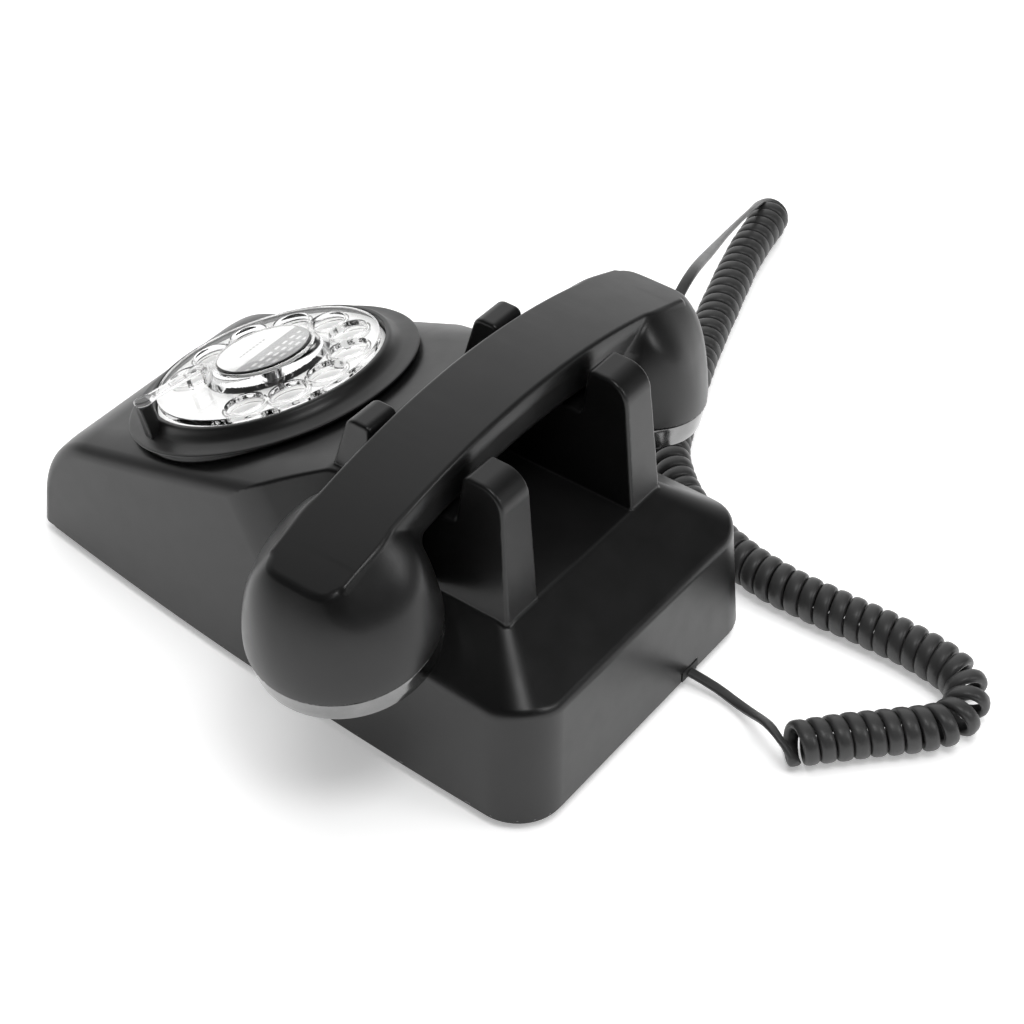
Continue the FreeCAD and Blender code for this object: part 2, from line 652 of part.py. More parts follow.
def arch_slab(depth_top, depth_low, half_width, reach):
    """Curved bar between two depths under the crown of the handset."""
    centre_z = arch_top_z - arch_r
    outer = arch_r - depth_top
    inner = arch_r - depth_low
    bar = Part.makeCylinder(outer, 2 * half_width, V(0, handset_y - half_width, centre_z), V(0, 1, 0))
    bar = bar.cut(Part.makeCylinder(inner, 2 * half_width + 2, V(0, handset_y - half_width - 1, centre_z),
                                    V(0, 1, 0)))
    return bar.common(Part.makeBox(2 * reach, 200, 200, V(-reach, -50, centre_z + 100)))


def handle_bar():
    """The arched handle: flat crisp top, sides closing in, rounded underside."""
    centre_z = arch_top_z - arch_r
    half = strip_half_width
    section = [(half, 0), (half - 0.6, -8), (half - 1.6, -13), (half - 4.2, -18),
               (half - 8.0, -handle_depth)]
    points = [V(0, handset_y + y, arch_top_z + z) for y, z in section]
    points += [V(0, handset_y - y, arch_top_z + z) for y, z in reversed(section)]
    face = Part.Face(Part.makePolygon(points + points[:1]))
    bar = face.revolve(V(0, handset_y, centre_z), V(0, 1, 0), 2 * strip_half_angle)
    bar.rotate(V(0, handset_y, centre_z), V(0, 1, 0), -strip_half_angle)
    return bar


def make_handset():
    parts = [handle_bar()]
    for side, sign in SIDES:
        parts.append(on_cup(cup_dome(cup_r, cup_height), sign))
    body = joined(parts)
    centre_z = arch_top_z - arch_r
    under_arch = Part.makeCylinder(arch_r, 200, V(0, handset_y - 100, centre_z), V(0, 1, 0))
    body = body.common(under_arch)
    for side, sign in SIDES:
        body = body.cut(on_cup(disc(cup_r + 2, -60, 0), sign))
        hollow = cup_dome(cup_r - 3.0, cup_height - 10.7)
        body = body.cut(on_cup(hollow, sign))
    weight_room = arch_slab(7.0, 15.0, 9.0, 40.0)
    body = body.cut(weight_room)
    relief_hole = rod(relief_r, (-cup_x, handset_y, relief_z), (-140, handset_y, relief_z))
    body = body.cut(relief_hole)
    save("handset_shell", body)
    save("handset_weight", arch_slab(7.2, 14.8, 8.8, 39.5))
    cap_names = {"right": "earpiece_cap", "left": "mouthpiece_cap"}
    insert_names = {"right": "receiver", "left": "microphone"}
    for side, sign in SIDES:
        cap = turned([(cap_r - 5.4, 5.0), (cap_r - 3.6, 5.0), (cap_r - 3.6, -0.15), (cap_r, -0.15),
                      (cap_r, -2.0), (cap_r - 0.4, -cap_depth + 2.5), (cap_face_r, -cap_depth),
                      (25.0, -cap_depth), (16.0, -cap_depth + 2.2), (0, -cap_depth + 3.0),
                      (0, -cap_depth + 5.2), (15.0, -cap_depth + 4.6), (24.0, -cap_depth + 2.6),
                      (cap_face_r - 4.0, -cap_depth + 2.6), (cap_r - 5.4, -3.0)])
        for k in range(6):
            x, y = polar(8.5, 60 * k)
            cap = cap.cut(disc(1.3, -20, 0, x, y))
        save(cap_names[side], on_cup(cap, sign))
        capsule = turned([(0, -3.2), (20.0, -3.2), (23.0, -1.0), (23.0, 8.0), (18.0, 10.5), (0, 10.5)])
        save(insert_names[side], on_cup(capsule, sign))
    sleeve = rod(relief_r - 0.1, (-relief_in_x, handset_y, relief_z), (-relief_out_x, handset_y, relief_z))
    collar = rod(relief_r + 1.0, (-relief_out_x, handset_y, relief_z), (-relief_end_x, handset_y, relief_z))
    relief = joined([sleeve, collar])
    save("handset_cord_relief", relief)


# ---------------------------------------------------------------- cord

def cord_tube(name, points, diameter):
    """Straight runs joined by tangent arcs, as a tube of round section."""
    pts = [V(*p) for p in points]
    edges = []
    start = pts[0]
    length = 0.0
    for before, here, after in zip(pts, pts[1:], pts[2:]):
        a = (here - before)
        b = (after - here)
        turn = a.getAngle(b)
        shorter = min(a.Length, b.Length)
        setback = 0.45 * shorter
        r = setback / tan(turn / 2)
        print("   %s radius %.1f turn %.0f run %.1f" % (name, r, degrees(turn), a.Length))
        into = here - V(a).normalize() * setback
        away = here + V(b).normalize() * setback
        inward = (V(b).normalize() - V(a).normalize()).normalize()
        middle = here + inward * (r / cos(turn / 2) - r)
        edges.append(Part.LineSegment(start, into).toShape())
        edges.append(Part.Arc(into, middle, away).toShape())
        length += (into - start).Length + r * turn
        start = away
    edges.append(Part.LineSegment(start, pts[-1]).toShape())
    length += (pts[-1] - start).Length
    path = Part.Wire(edges)
    circle = Part.makeCircle(diameter / 2, pts[0], pts[1] - pts[0])
    tube = path.makePipeShell([Part.Wire(circle)], True, True)
    swept = pi * diameter ** 2 / 4 * length
    print("   %s length %.1f volume ratio %.3f" % (name, length, tube.Volume / swept))
    save(name, tube)
    return length


# Route of the handset cord, from the handset round the back of the case to its gland
upper_tail = [(-relief_end_x, handset_y, relief_z), (-128.0, 51.6, 93.0), (-140.0, 48.6, 92.6),
              (-156.0, 42.5, 85.5), (-180.0, 32.0, 71.5), (-208.0, 20.5, 57.0), (-236.0, 10.5, 44.5),
              (-262.0, 2.0, 33.5),
              (-284.0, -4.0, 24.0), (-302.0, -6.3, 15.5)]
upper_coil = [(-304.0, -5.5, coil_z), (-288.0, -3.0, coil_z), (-263.0, 2.5, coil_z), (-233.0, 12.0, coil_z),
              (-204.0, 21.5, coil_z), (-176.0, 31.5, coil_z), (-148.3, 42.88, coil_z)]
lower_coil = [(-148.0, 43.0, coil_z), (-126.72, 51.74, coil_z), (-107.0, 71.0, coil_z),
              (-94.0, 96.0, coil_z),
              (-87.0, 124.0, coil_z), (-87.0, 147.0, coil_z), (-88.5, 168.0, coil_z), (-89.0, 187.0, coil_z),
              (-87.5, 203.5, coil_z), (-84.5, 213.6, coil_z), (-76.5, 220.4, coil_z), (-66.1, 221.8, coil_z),
              (-56.6, 217.2, coil_z), (-46.0, 206.8, coil_z), (-31.0, 191.8, coil_z), (-14.0, 177.0, coil_z)]
lower_tail = [(-14.8, 172.2, 14.3), (-19.6, 165.4, 10.4), (-24.2, 157.6, 5.6), (-27.6, 148.4, 3.2),
              (-29.0, 138.5, 4.2), (gland_x, rear_y, gland_cord_z)]


def make_cord():
    lengths = [cord_tube("cord_tail_upper", upper_tail, tail_d),
               cord_tube("cord_coil_upper", upper_coil, coil_d),
               cord_tube("cord_coil_lower", lower_coil, coil_d),
               cord_tube("cord_tail_lower", lower_tail, tail_d)]
    print("   route lengths", ["%.1f" % length for length in lengths])


save("case_shell", make_case())
make_base()
make_dial()
make_mechanism()
make_hook()
make_bell()
make_board()
make_sockets()
make_handset()
make_cord()
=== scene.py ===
"""Visual model of a black rotary-dial desk telephone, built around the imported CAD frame.

Shapes are worked out in millimetres and become metres in mesh_from().
"""
import json
from math import atan2, cos, hypot, pi, radians, sin, sqrt, tan

import bmesh
import bpy
import numpy as np
from mathutils import Matrix, Vector


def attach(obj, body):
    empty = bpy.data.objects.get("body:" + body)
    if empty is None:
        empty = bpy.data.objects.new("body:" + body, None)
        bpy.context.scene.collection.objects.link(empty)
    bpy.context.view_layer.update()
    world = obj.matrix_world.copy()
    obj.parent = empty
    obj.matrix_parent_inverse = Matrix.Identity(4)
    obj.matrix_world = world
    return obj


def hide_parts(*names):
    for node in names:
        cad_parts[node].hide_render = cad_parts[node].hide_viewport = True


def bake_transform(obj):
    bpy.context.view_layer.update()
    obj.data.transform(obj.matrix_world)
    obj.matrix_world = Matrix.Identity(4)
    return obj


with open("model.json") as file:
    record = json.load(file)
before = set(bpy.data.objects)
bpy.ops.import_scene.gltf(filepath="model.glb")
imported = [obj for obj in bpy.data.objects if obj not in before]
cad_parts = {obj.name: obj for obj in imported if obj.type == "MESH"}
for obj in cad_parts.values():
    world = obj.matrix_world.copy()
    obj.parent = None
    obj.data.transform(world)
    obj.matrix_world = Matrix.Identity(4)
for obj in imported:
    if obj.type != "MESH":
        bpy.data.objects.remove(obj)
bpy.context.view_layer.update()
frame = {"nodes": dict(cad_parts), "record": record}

MM = 0.001
TO_METRES = Matrix.Diagonal((MM, MM, MM, 1.0))
DIAL_Y, DIAL_Z, DIAL_TILT = -50.5, 78.6, radians(21.2)
scene = bpy.context.scene
scene.view_settings.view_transform = "Standard"


# ---------------------------------------------------------------- camera, floor and light

CAMERA_AZIMUTH = 125.24
CAMERA_ELEVATION = 41.474
CAMERA_ROLL = 1.689
CAMERA_DISTANCE = 1009.96
CAMERA_TARGET = (-79.894, 6.824, -15.349)
CAMERA_LENS = 84.72
MODEL_MIDDLE = (0.0, 0.0, 0.05)
FLOOR_HALF = 6.0
FLOOR_DROP = -0.0002
WALL_DIRECTION = (-0.6, -0.75, 0.25)
WALL_EDGE, WALL_MIDDLE = 0.25, 0.95
WALL_GLOW, CEILING_GLOW = 1.15, 0.01
SKYLINE_TOP, SKYLINE_FOOT, SKYLINE_GLOW = 0.45, 0.02, 0.22


def make_camera():
    """Camera on a sphere round its target, seen over the near cup of the handset."""
    azimuth, elevation, roll = (radians(a) for a in (CAMERA_AZIMUTH, CAMERA_ELEVATION, CAMERA_ROLL))
    back = Vector((sin(azimuth) * cos(elevation), -cos(azimuth) * cos(elevation), sin(elevation)))
    level = (-back).cross(Vector((0, 0, 1))).normalized()
    upright = level.cross(-back)
    right = level * cos(roll) + upright * sin(roll)
    up = upright * cos(roll) - level * sin(roll)
    data = bpy.data.cameras.new("camera")
    data.lens = CAMERA_LENS
    data.sensor_width = 36.0
    data.clip_start = 0.01
    camera = bpy.data.objects.new("camera", data)
    scene.collection.objects.link(camera)
    place = (Vector(CAMERA_TARGET) + back * CAMERA_DISTANCE) * MM
    camera.matrix_world = Matrix.Translation(place) @ Matrix((right, up, back)).transposed().to_4x4()
    scene.camera = camera


def area_light(name, place, target, size, power, glossy=True):
    """Rectangular lamp, in metres and watts, aimed at a target."""
    data = bpy.data.lights.new(name, "AREA")
    data.shape = "RECTANGLE"
    data.size, data.size_y = size
    data.energy = power
    light = bpy.data.objects.new(name, data)
    scene.collection.objects.link(light)
    light.location = place
    light.rotation_euler = (Vector(target) - Vector(place)).to_track_quat("-Z", "Y").to_euler()
    light.visible_glossy = glossy


def make_world():
    """Dark ceiling, a pale wall behind the dial end and a faint glow all round the horizon."""
    world = bpy.data.worlds.new("studio")
    scene.world = world
    world.use_nodes = True
    tree = world.node_tree
    backdrop = tree.nodes["Background"]
    coordinates = tree.nodes.new("ShaderNodeTexCoord")
    side = tree.nodes.new("ShaderNodeVectorMath")
    side.operation = "DOT_PRODUCT"
    side.inputs[1].default_value = WALL_DIRECTION
    tree.links.new(coordinates.outputs["Generated"], side.inputs[0])
    rise = tree.nodes.new("ShaderNodeMapRange")
    rise.inputs["From Min"].default_value = WALL_EDGE
    rise.inputs["From Max"].default_value = WALL_MIDDLE
    tree.links.new(side.outputs["Value"], rise.inputs["Value"])
    wall = maths(tree, "MULTIPLY_ADD", maths(tree, "POWER", rise.outputs["Result"], 1.5),
                 WALL_GLOW, CEILING_GLOW)
    apart = tree.nodes.new("ShaderNodeSeparateXYZ")
    tree.links.new(coordinates.outputs["Generated"], apart.inputs["Vector"])
    skyline = tree.nodes.new("ShaderNodeMapRange")
    skyline.inputs["From Min"].default_value = SKYLINE_TOP
    skyline.inputs["From Max"].default_value = SKYLINE_FOOT
    skyline.inputs["To Max"].default_value = SKYLINE_GLOW
    skyline.interpolation_type = "SMOOTHSTEP"
    tree.links.new(apart.outputs["Z"], skyline.inputs["Value"])
    glow = maths(tree, "MAXIMUM", wall, skyline.outputs["Result"])
    tree.links.new(glow, backdrop.inputs["Strength"])
    backdrop.inputs["Color"].default_value = (1.0, 1.0, 1.0, 1.0)


def make_floor():
    bm = bmesh.new()
    bmesh.ops.create_grid(bm, x_segments=8, y_segments=8, size=FLOOR_HALF)
    mesh = bpy.data.meshes.new("floor")
    bm.to_mesh(mesh)
    bm.free()
    mesh.materials.append(FLOOR)
    floor = bpy.data.objects.new("floor", mesh)
    scene.collection.objects.link(floor)
    floor.location.z = FLOOR_DROP


def make_studio():
    """White floor under a broad fill and two small soft lamps."""
    make_world()
    area_light("overhead", (0.21, 0.44, 1.2), MODEL_MIDDLE, (0.35, 0.35), 3.0)
    area_light("right_rear", (-0.34, 1.03, 0.7), MODEL_MIDDLE, (0.3, 0.4), 2.0)
    area_light("fill", (-0.2, 0.2, 2.0), (0.0, 0.0, 0.0), (2.2, 2.2), 36.0, glossy=False)
    make_floor()


# ---------------------------------------------------------------- materials

def new_material(name, color, roughness, **sockets):
    """A node material whose plain values sit on the shader's own sockets."""
    material = bpy.data.materials.new(name)
    material.use_nodes = True
    shader = material.node_tree.nodes["Principled BSDF"]
    shader.inputs["Base Color"].default_value = (*color, 1.0)
    shader.inputs["Roughness"].default_value = roughness
    for key, value in sockets.items():
        shader.inputs[key.replace("_", " ")].default_value = value
    return material, material.node_tree, shader


def maths(tree, operation, *values):
    """Math node fed with plain numbers and with outputs of other nodes."""
    node = tree.nodes.new("ShaderNodeMath")
    node.operation = operation
    for place, value in zip(node.inputs, values):
        if isinstance(value, (int, float)):
            place.default_value = value
        else:
            tree.links.new(value, place)
    return node.outputs["Value"]


def noise(tree, scale, detail=3.0):
    """Noise fixed to the piece, with scale in waves per metre."""
    coordinates = tree.nodes.new("ShaderNodeTexCoord")
    node = tree.nodes.new("ShaderNodeTexNoise")
    node.inputs["Scale"].default_value = scale
    node.inputs["Detail"].default_value = detail
    node.inputs["Roughness"].default_value = 0.6
    tree.links.new(coordinates.outputs["Object"], node.inputs["Vector"])
    return node.outputs["Fac"]


def ramp(tree, value, low, high, start=0.3, stop=0.7):
    """Colour ramp between two greys or colours, driven by a value."""
    node = tree.nodes.new("ShaderNodeValToRGB")
    ends = node.color_ramp.elements
    ends[0].position, ends[1].position = start, stop
    for end, tone in zip(ends, (low, high)):
        end.color = (*tone, 1.0) if isinstance(tone, tuple) else (tone, tone, tone, 1.0)
    tree.links.new(value, node.inputs["Fac"])
    return node.outputs["Color"]


def bump(tree, shader, height, strength, distance):
    """Surface relief of the given depth in metres."""
    node = tree.nodes.new("ShaderNodeBump")
    node.inputs["Strength"].default_value = strength
    node.inputs["Distance"].default_value = distance
    tree.links.new(height, node.inputs["Height"])
    tree.links.new(node.outputs["Normal"], shader.inputs["Normal"])


def moulded(name, dark, light, rough_low, rough_high, grain=2600.0, grain_depth=0.00002, **sockets):
    """Injection-moulded plastic: faint mottling, uneven gloss and a fine spark-eroded grain."""
    material, tree, shader = new_material(name, dark, rough_low, **sockets)
    tree.links.new(ramp(tree, noise(tree, 38.0), dark, light), shader.inputs["Base Color"])
    gloss = ramp(tree, noise(tree, 90.0, 4.0), rough_low, rough_high)
    tree.links.new(gloss, shader.inputs["Roughness"])
    bump(tree, shader, noise(tree, grain, 2.0), 0.35, grain_depth)
    return material


def metal(name, color, roughness, streaks=260.0):
    """Metal with faint streaks, uneven polish and a trace of waviness."""
    material, tree, shader = new_material(name, color, roughness, Metallic=1.0)
    darker = tuple(c * 0.78 for c in color)
    tree.links.new(ramp(tree, noise(tree, streaks, 5.0), darker, color), shader.inputs["Base Color"])
    polish = ramp(tree, noise(tree, 60.0), roughness - 0.08, roughness + 0.1)
    tree.links.new(polish, shader.inputs["Roughness"])
    bump(tree, shader, noise(tree, 900.0), 0.2, 0.00002)
    return material


def clear(name, tint, roughness):
    """Clear acrylic that lets lamp light through to what is under it."""
    material, tree, shader = new_material(name, tint, roughness, Transmission_Weight=1.0, IOR=1.36)
    gloss = ramp(tree, noise(tree, 70.0), roughness * 0.5, roughness * 1.5)
    tree.links.new(gloss, shader.inputs["Roughness"])
    ray = tree.nodes.new("ShaderNodeLightPath")
    through = tree.nodes.new("ShaderNodeBsdfTransparent")
    mix = tree.nodes.new("ShaderNodeMixShader")
    out = tree.nodes["Material Output"]
    tree.links.new(ray.outputs["Is Shadow Ray"], mix.inputs["Fac"])
    tree.links.new(shader.outputs["BSDF"], mix.inputs[1])
    tree.links.new(through.outputs["BSDF"], mix.inputs[2])
    tree.links.new(mix.outputs["Shader"], out.inputs["Surface"])
    return material


def position_along(tree, direction, origin):
    """Distance in millimetres along a direction of the piece from a point given in millimetres."""
    coordinates = tree.nodes.new("ShaderNodeTexCoord")
    dot = tree.nodes.new("ShaderNodeVectorMath")
    dot.operation = "DOT_PRODUCT"
    dot.inputs[1].default_value = direction
    tree.links.new(coordinates.outputs["Object"], dot.inputs[0])
    start = -Vector(direction).dot(Vector(origin))
    return maths(tree, "MULTIPLY_ADD", dot.outputs["Value"], 1.0 / MM, start)


def band(tree, value, low, high):
    """1 where the value lies between two limits."""
    over, under = maths(tree, "GREATER_THAN", value, low), maths(tree, "LESS_THAN", value, high)
    return maths(tree, "MULTIPLY", over, under)


CARD_WHITE = (0.6, 0.6, 0.595)
BOX_SPACING, ROW_SPACING, DASH_SPACING = 4.4, 3.5, 1.9


def floor_material():
    """White table top that glows a little, so that nothing casts a hard shadow on it."""
    material, tree, shader = new_material("floor", (0.95, 0.95, 0.95), 0.8)
    tree.links.new(ramp(tree, noise(tree, 3.0), 0.945, 0.955), shader.inputs["Base Color"])
    shader.inputs["Emission Color"].default_value = (1.0, 1.0, 1.0, 1.0)
    shader.inputs["Emission Strength"].default_value = 0.37
    return material


def label_material():
    """Card with a plain grey half, rows of blank white boxes on it and a dashed rule on the white half."""
    material, tree, shader = new_material("label_card", (0.8, 0.8, 0.79), 0.5)
    sideways = position_along(tree, (1.0, 0.0, 0.0), (0.0, DIAL_Y, DIAL_Z))
    upward = position_along(tree, (0.0, cos(DIAL_TILT), sin(DIAL_TILT)), (0.0, DIAL_Y, DIAL_Z))
    radius = maths(tree, "POWER", maths(tree, "ADD", maths(tree, "MULTIPLY", sideways, sideways),
                                        maths(tree, "MULTIPLY", upward, upward)), 0.5)
    grey = band(tree, upward, 0.0, 30.0)
    column = maths(tree, "FRACT", maths(tree, "MULTIPLY", sideways, 1 / BOX_SPACING))
    row = maths(tree, "FRACT", maths(tree, "MULTIPLY", upward, 1 / ROW_SPACING))
    boxes = maths(tree, "MULTIPLY", band(tree, column, 0.2, 0.78), band(tree, row, 0.3, 0.72))
    boxes = maths(tree, "MULTIPLY", boxes, band(tree, upward, 2.6, 15.2))
    boxes = maths(tree, "MULTIPLY", boxes, band(tree, radius, -1.0, 16.8))
    dash = maths(tree, "FRACT", maths(tree, "MULTIPLY", sideways, 1 / DASH_SPACING))
    rule = maths(tree, "MULTIPLY", band(tree, dash, 0.15, 0.7), band(tree, upward, -6.9, -5.9))
    rule = maths(tree, "MULTIPLY", rule, band(tree, sideways, -8.0, 8.0))
    ground = ramp(tree, grey, CARD_WHITE, (0.25, 0.25, 0.25), 0.4, 0.6)
    for mask, tone in ((boxes, CARD_WHITE), (rule, (0.2, 0.2, 0.2))):
        mix = tree.nodes.new("ShaderNodeMix")
        mix.data_type = "RGBA"
        mix.inputs["B"].default_value = (*tone, 1.0)
        tree.links.new(mask, mix.inputs["Factor"])
        tree.links.new(ground, mix.inputs["A"])
        ground = mix.outputs["Result"]
    tree.links.new(ground, shader.inputs["Base Color"])
    bump(tree, shader, noise(tree, 1200.0), 0.15, 0.00002)
    return material


FLOOR = floor_material()
CASE_BLACK = moulded("case_black", (0.005, 0.005, 0.0051), (0.0065, 0.0065, 0.0066), 0.31, 0.37)
CAP_BLACK = moulded("cap_black", (0.008, 0.008, 0.008), (0.01, 0.01, 0.01), 0.27, 0.34)
SATIN_BLACK = moulded("satin_black", (0.006, 0.006, 0.006), (0.008, 0.008, 0.008), 0.36, 0.43)
CORD_BLACK = moulded("cord_black", (0.03, 0.03, 0.03), (0.037, 0.037, 0.037), 0.36, 0.44, 1500.0, 0.00004)
RUBBER = moulded("rubber", (0.02, 0.02, 0.02), (0.03, 0.03, 0.03), 0.6, 0.75, 1800.0, 0.00006)
WHITE = moulded("plate_white", (0.62, 0.62, 0.615), (0.66, 0.66, 0.655), 0.35, 0.42)
INK = moulded("ink", (0.01, 0.01, 0.01), (0.015, 0.015, 0.015), 0.5, 0.6)
CARD = label_material()
CLEAR = clear("clear_acrylic", (1.0, 1.0, 1.0), 0.03)
TRIM = metal("polished_trim", (0.26, 0.26, 0.26), 0.14, 90.0)
STEEL = metal("steel", (0.56, 0.56, 0.57), 0.34)
BRASS = metal("brass", (0.72, 0.53, 0.24), 0.3)
COPPER = metal("copper", (0.72, 0.34, 0.2), 0.32, 2200.0)
BOARD = moulded("board_green", (0.02, 0.11, 0.05), (0.03, 0.14, 0.06), 0.35, 0.45)

SLOT_MATERIALS = {
    "black_plastic": CASE_BLACK, "cap_plastic": CAP_BLACK, "satin_black": SATIN_BLACK,
    "white_plastic": WHITE, "clear_plastic": CLEAR, "label_card": CARD, "rubber": RUBBER,
    "steel": STEEL, "brass": BRASS, "copper": COPPER, "board_green": BOARD, "cord_black": CORD_BLACK,
}
NODE_SLOTS = {part["node"]: part["material_slot"] for part in frame["record"]["subparts"]}


def dress_cad_nodes():
    """Give every CAD node the material of its slot."""
    for name, node in frame["nodes"].items():
        material = SLOT_MATERIALS[NODE_SLOTS[name]]
        if not node.material_slots:
            node.data.materials.append(material)
        for place in node.material_slots:
            place.material = material


# ---------------------------------------------------------------- mesh helpers

CREASE_ANGLE = 35

def mesh_from(name, points, faces, material, body, smooth_angle=None, replaces=()):
    """Make a piece from points in millimetres and register it with the frame."""
    mesh = bpy.data.meshes.new(name)
    mesh.from_pydata([tuple(p) for p in np.asarray(points, float) * MM], [], [tuple(f) for f in faces])
    mesh.validate()
    mesh.materials.append(material)
    mesh.shade_smooth()
    if smooth_angle is not None:
        mesh.set_sharp_from_angle(angle=radians(smooth_angle))
    piece = bpy.data.objects.new(name, mesh)
    scene.collection.objects.link(piece)
    register(piece, body, replaces)
    return piece


def register(piece, body, replaces=()):
    """Tell the frame which body a piece rides and the CAD nodes it stands for."""
    if body:
        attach(piece, body)
    if replaces:
        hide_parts(*replaces)


def surface_net(field, low, high, step):
    """Quads round the zero level of a field (negative inside), sampled on a grid of the given step."""
    axes = [np.arange(a, b + step, step, dtype=np.float32) for a, b in zip(low, high)]
    x, y, z = np.meshgrid(*axes, indexing="ij", sparse=True)
    value = np.broadcast_to(field(x, y, z), tuple(len(a) for a in axes)).astype(np.float32)
    inside = value < 0
    cells = tuple(n - 1 for n in inside.shape)
    corner_sum = np.zeros(cells, np.uint8)
    for i in (0, 1):
        for j in (0, 1):
            for k in (0, 1):
                corner_sum += inside[i:i + cells[0], j:j + cells[1], k:k + cells[2]]
    active = (corner_sum > 0) & (corner_sum < 8)
    index = np.full(cells, -1, np.int64)
    spots = np.argwhere(active)
    index[active] = np.arange(len(spots))
    points = np.stack([axes[k][spots[:, k]] + step / 2 for k in range(3)], 1).astype(np.float64)
    quads = []
    for axis in range(3):
        first = [slice(None)] * 3
        second = [slice(None)] * 3
        first[axis] = slice(0, -1)
        second[axis] = slice(1, None)
        crossing = inside[tuple(first)] != inside[tuple(second)]
        where = np.argwhere(crossing)
        others = [k for k in range(3) if k != axis]
        keep = np.all(where[:, others] > 0, 1) & np.all(where[:, others] < [cells[k] for k in others], 1)
        where = where[keep]
        corners = []
        for da, db in ((-1, -1), (0, -1), (0, 0), (-1, 0)):
            cell = where.copy()
            cell[:, others[0]] += da
            cell[:, others[1]] += db
            corners.append(index[cell[:, 0], cell[:, 1], cell[:, 2]])
        quad = np.stack(corners, 1)
        outward = inside[tuple(first)][tuple(where.T)]
        if axis == 1:
            outward = ~outward
        quad[~outward] = quad[~outward][:, ::-1]
        quads.append(quad)
    return points, np.concatenate(quads)


def gradient(field, points):
    """Slope of a field at each point, from a short step either way."""
    reach = 0.02
    slopes = []
    for k in range(3):
        shift = np.zeros(3)
        shift[k] = reach
        ahead, behind = points + shift, points - shift
        slopes.append((field(*ahead.T) - field(*behind.T)) / (2 * reach))
    return np.stack(slopes, 1)


def pull_to_surface(field, points):
    """Points moved along the slope of a field onto its zero level."""
    longest = 0.6
    for _ in range(4):
        slope = gradient(field, points)
        push = field(*points.T)[:, None] * slope / np.maximum((slope ** 2).sum(1), 0.05)[:, None]
        size = np.linalg.norm(push, axis=1, keepdims=True)
        points = points - push * np.minimum(1.0, longest / np.maximum(size, 1e-9))
    return points


def relax(points, quads):
    """Points drawn half-way towards the mean of their neighbours, three times over."""
    for _ in range(3):
        total = np.zeros_like(points)
        count = np.zeros(len(points))
        for a, b in ((0, 1), (1, 2), (2, 3), (3, 0)):
            for p, q in ((a, b), (b, a)):
                np.add.at(total, quads[:, p], points[quads[:, q]])
                np.add.at(count, quads[:, p], 1)
        points = 0.5 * points + 0.5 * total / count[:, None]
    return points


def settled_mesh(piece):
    """The piece's mesh with its modifiers worked in, which is what it keeps."""
    graph = bpy.context.evaluated_depsgraph_get()
    mesh = bpy.data.meshes.new_from_object(piece.evaluated_get(graph))
    piece.modifiers.clear()
    piece.data = mesh
    return mesh


def skin(name, field, low, high, step, keep, material, body, replaces=(), place=None):
    """A piece whose surface is the zero level of a field. Faces are merged until the share keep is left."""
    points, quads = surface_net(field, low, high, step)
    points = pull_to_surface(field, points)
    points = pull_to_surface(field, relax(points, quads))
    piece = mesh_from(name, points, quads, material, None)
    thin = piece.modifiers.new("thin", "DECIMATE")
    thin.ratio = keep
    mesh = settled_mesh(piece)
    mesh.name = name
    flat = np.empty(len(mesh.vertices) * 3)
    mesh.vertices.foreach_get("co", flat)
    points = pull_to_surface(field, flat.reshape(-1, 3) / MM)
    normals = gradient(field, points)
    normals /= np.maximum(np.linalg.norm(normals, axis=1, keepdims=True), 1e-9)
    if place is not None:
        turn = np.array(place.to_3x3())
        points = points @ turn.T + np.array(place.translation)
        normals = normals @ turn.T
    mesh.vertices.foreach_set("co", (points * MM).ravel())
    mesh.shade_smooth()
    mesh.normals_split_custom_set_from_vertices(normals.tolist())
    mesh.update()
    register(piece, body, replaces)


def rounded_profile(corners):
    """(radius, height) outline whose corners (r, h, rounding) become short arcs."""
    count = len(corners)
    line = []
    for k, (r, h, rounding) in enumerate(corners):
        here = np.array([r, h], float)
        before = np.array(corners[k - 1][:2], float) - here
        after = np.array(corners[(k + 1) % count][:2], float) - here
        if rounding <= 0 or k in (0, count - 1):
            line.append(here)
            continue
        reach = min(rounding, 0.45 * np.linalg.norm(before), 0.45 * np.linalg.norm(after))
        start = here + before / np.linalg.norm(before) * reach
        end = here + after / np.linalg.norm(after) * reach
        for t in np.linspace(0, 1, 6):
            line.append((1 - t) ** 2 * start + 2 * t * (1 - t) * here + t * t * end)
    return line


def lathe(name, corners, material, body, replaces, place, closed=True, segments=144):
    """Turned piece about Z from an outline of (radius, height, rounding) corners."""
    line = rounded_profile(corners)
    points, rows = [], []
    for r, h in line:
        if r < 1e-6:
            rows.append([len(points)] * segments)
            points.append((0.0, 0.0, h))
            continue
        rows.append(list(range(len(points), len(points) + segments)))
        for k in range(segments):
            a = 2 * pi * k / segments
            points.append((r * cos(a), r * sin(a), h))
    faces = []
    pairs = list(zip(rows, rows[1:])) + ([(rows[-1], rows[0])] if closed else [])
    for low, high in pairs:
        for k in range(segments):
            j = (k + 1) % segments
            quad = [low[k], low[j], high[j], high[k]]
            face = [p for i, p in enumerate(quad) if p != quad[i - 1]]
            if len(face) > 2:
                faces.append(face)
    points = [place @ Vector(p) for p in points]
    return mesh_from(name, points, faces, material, body, CREASE_ANGLE, replaces)


# ---------------------------------------------------------------- field helpers (negative inside)

def meet(a, b, r=0.0, c=0.0):
    """Overlap of two regions whose edge is rounded by r. c is the cosine between the outward normals."""
    sharp = np.maximum(a, b)
    if np.ndim(r) == 0 and r == 0.0:
        return sharp
    a1, b1 = a + r, b + r
    corner = np.sqrt(np.maximum(a1 * a1 + b1 * b1 - 2 * c * a1 * b1, 0.0) / (1 - c * c)) - r
    return np.where((a1 > c * b1) & (b1 > c * a1), corner, sharp)


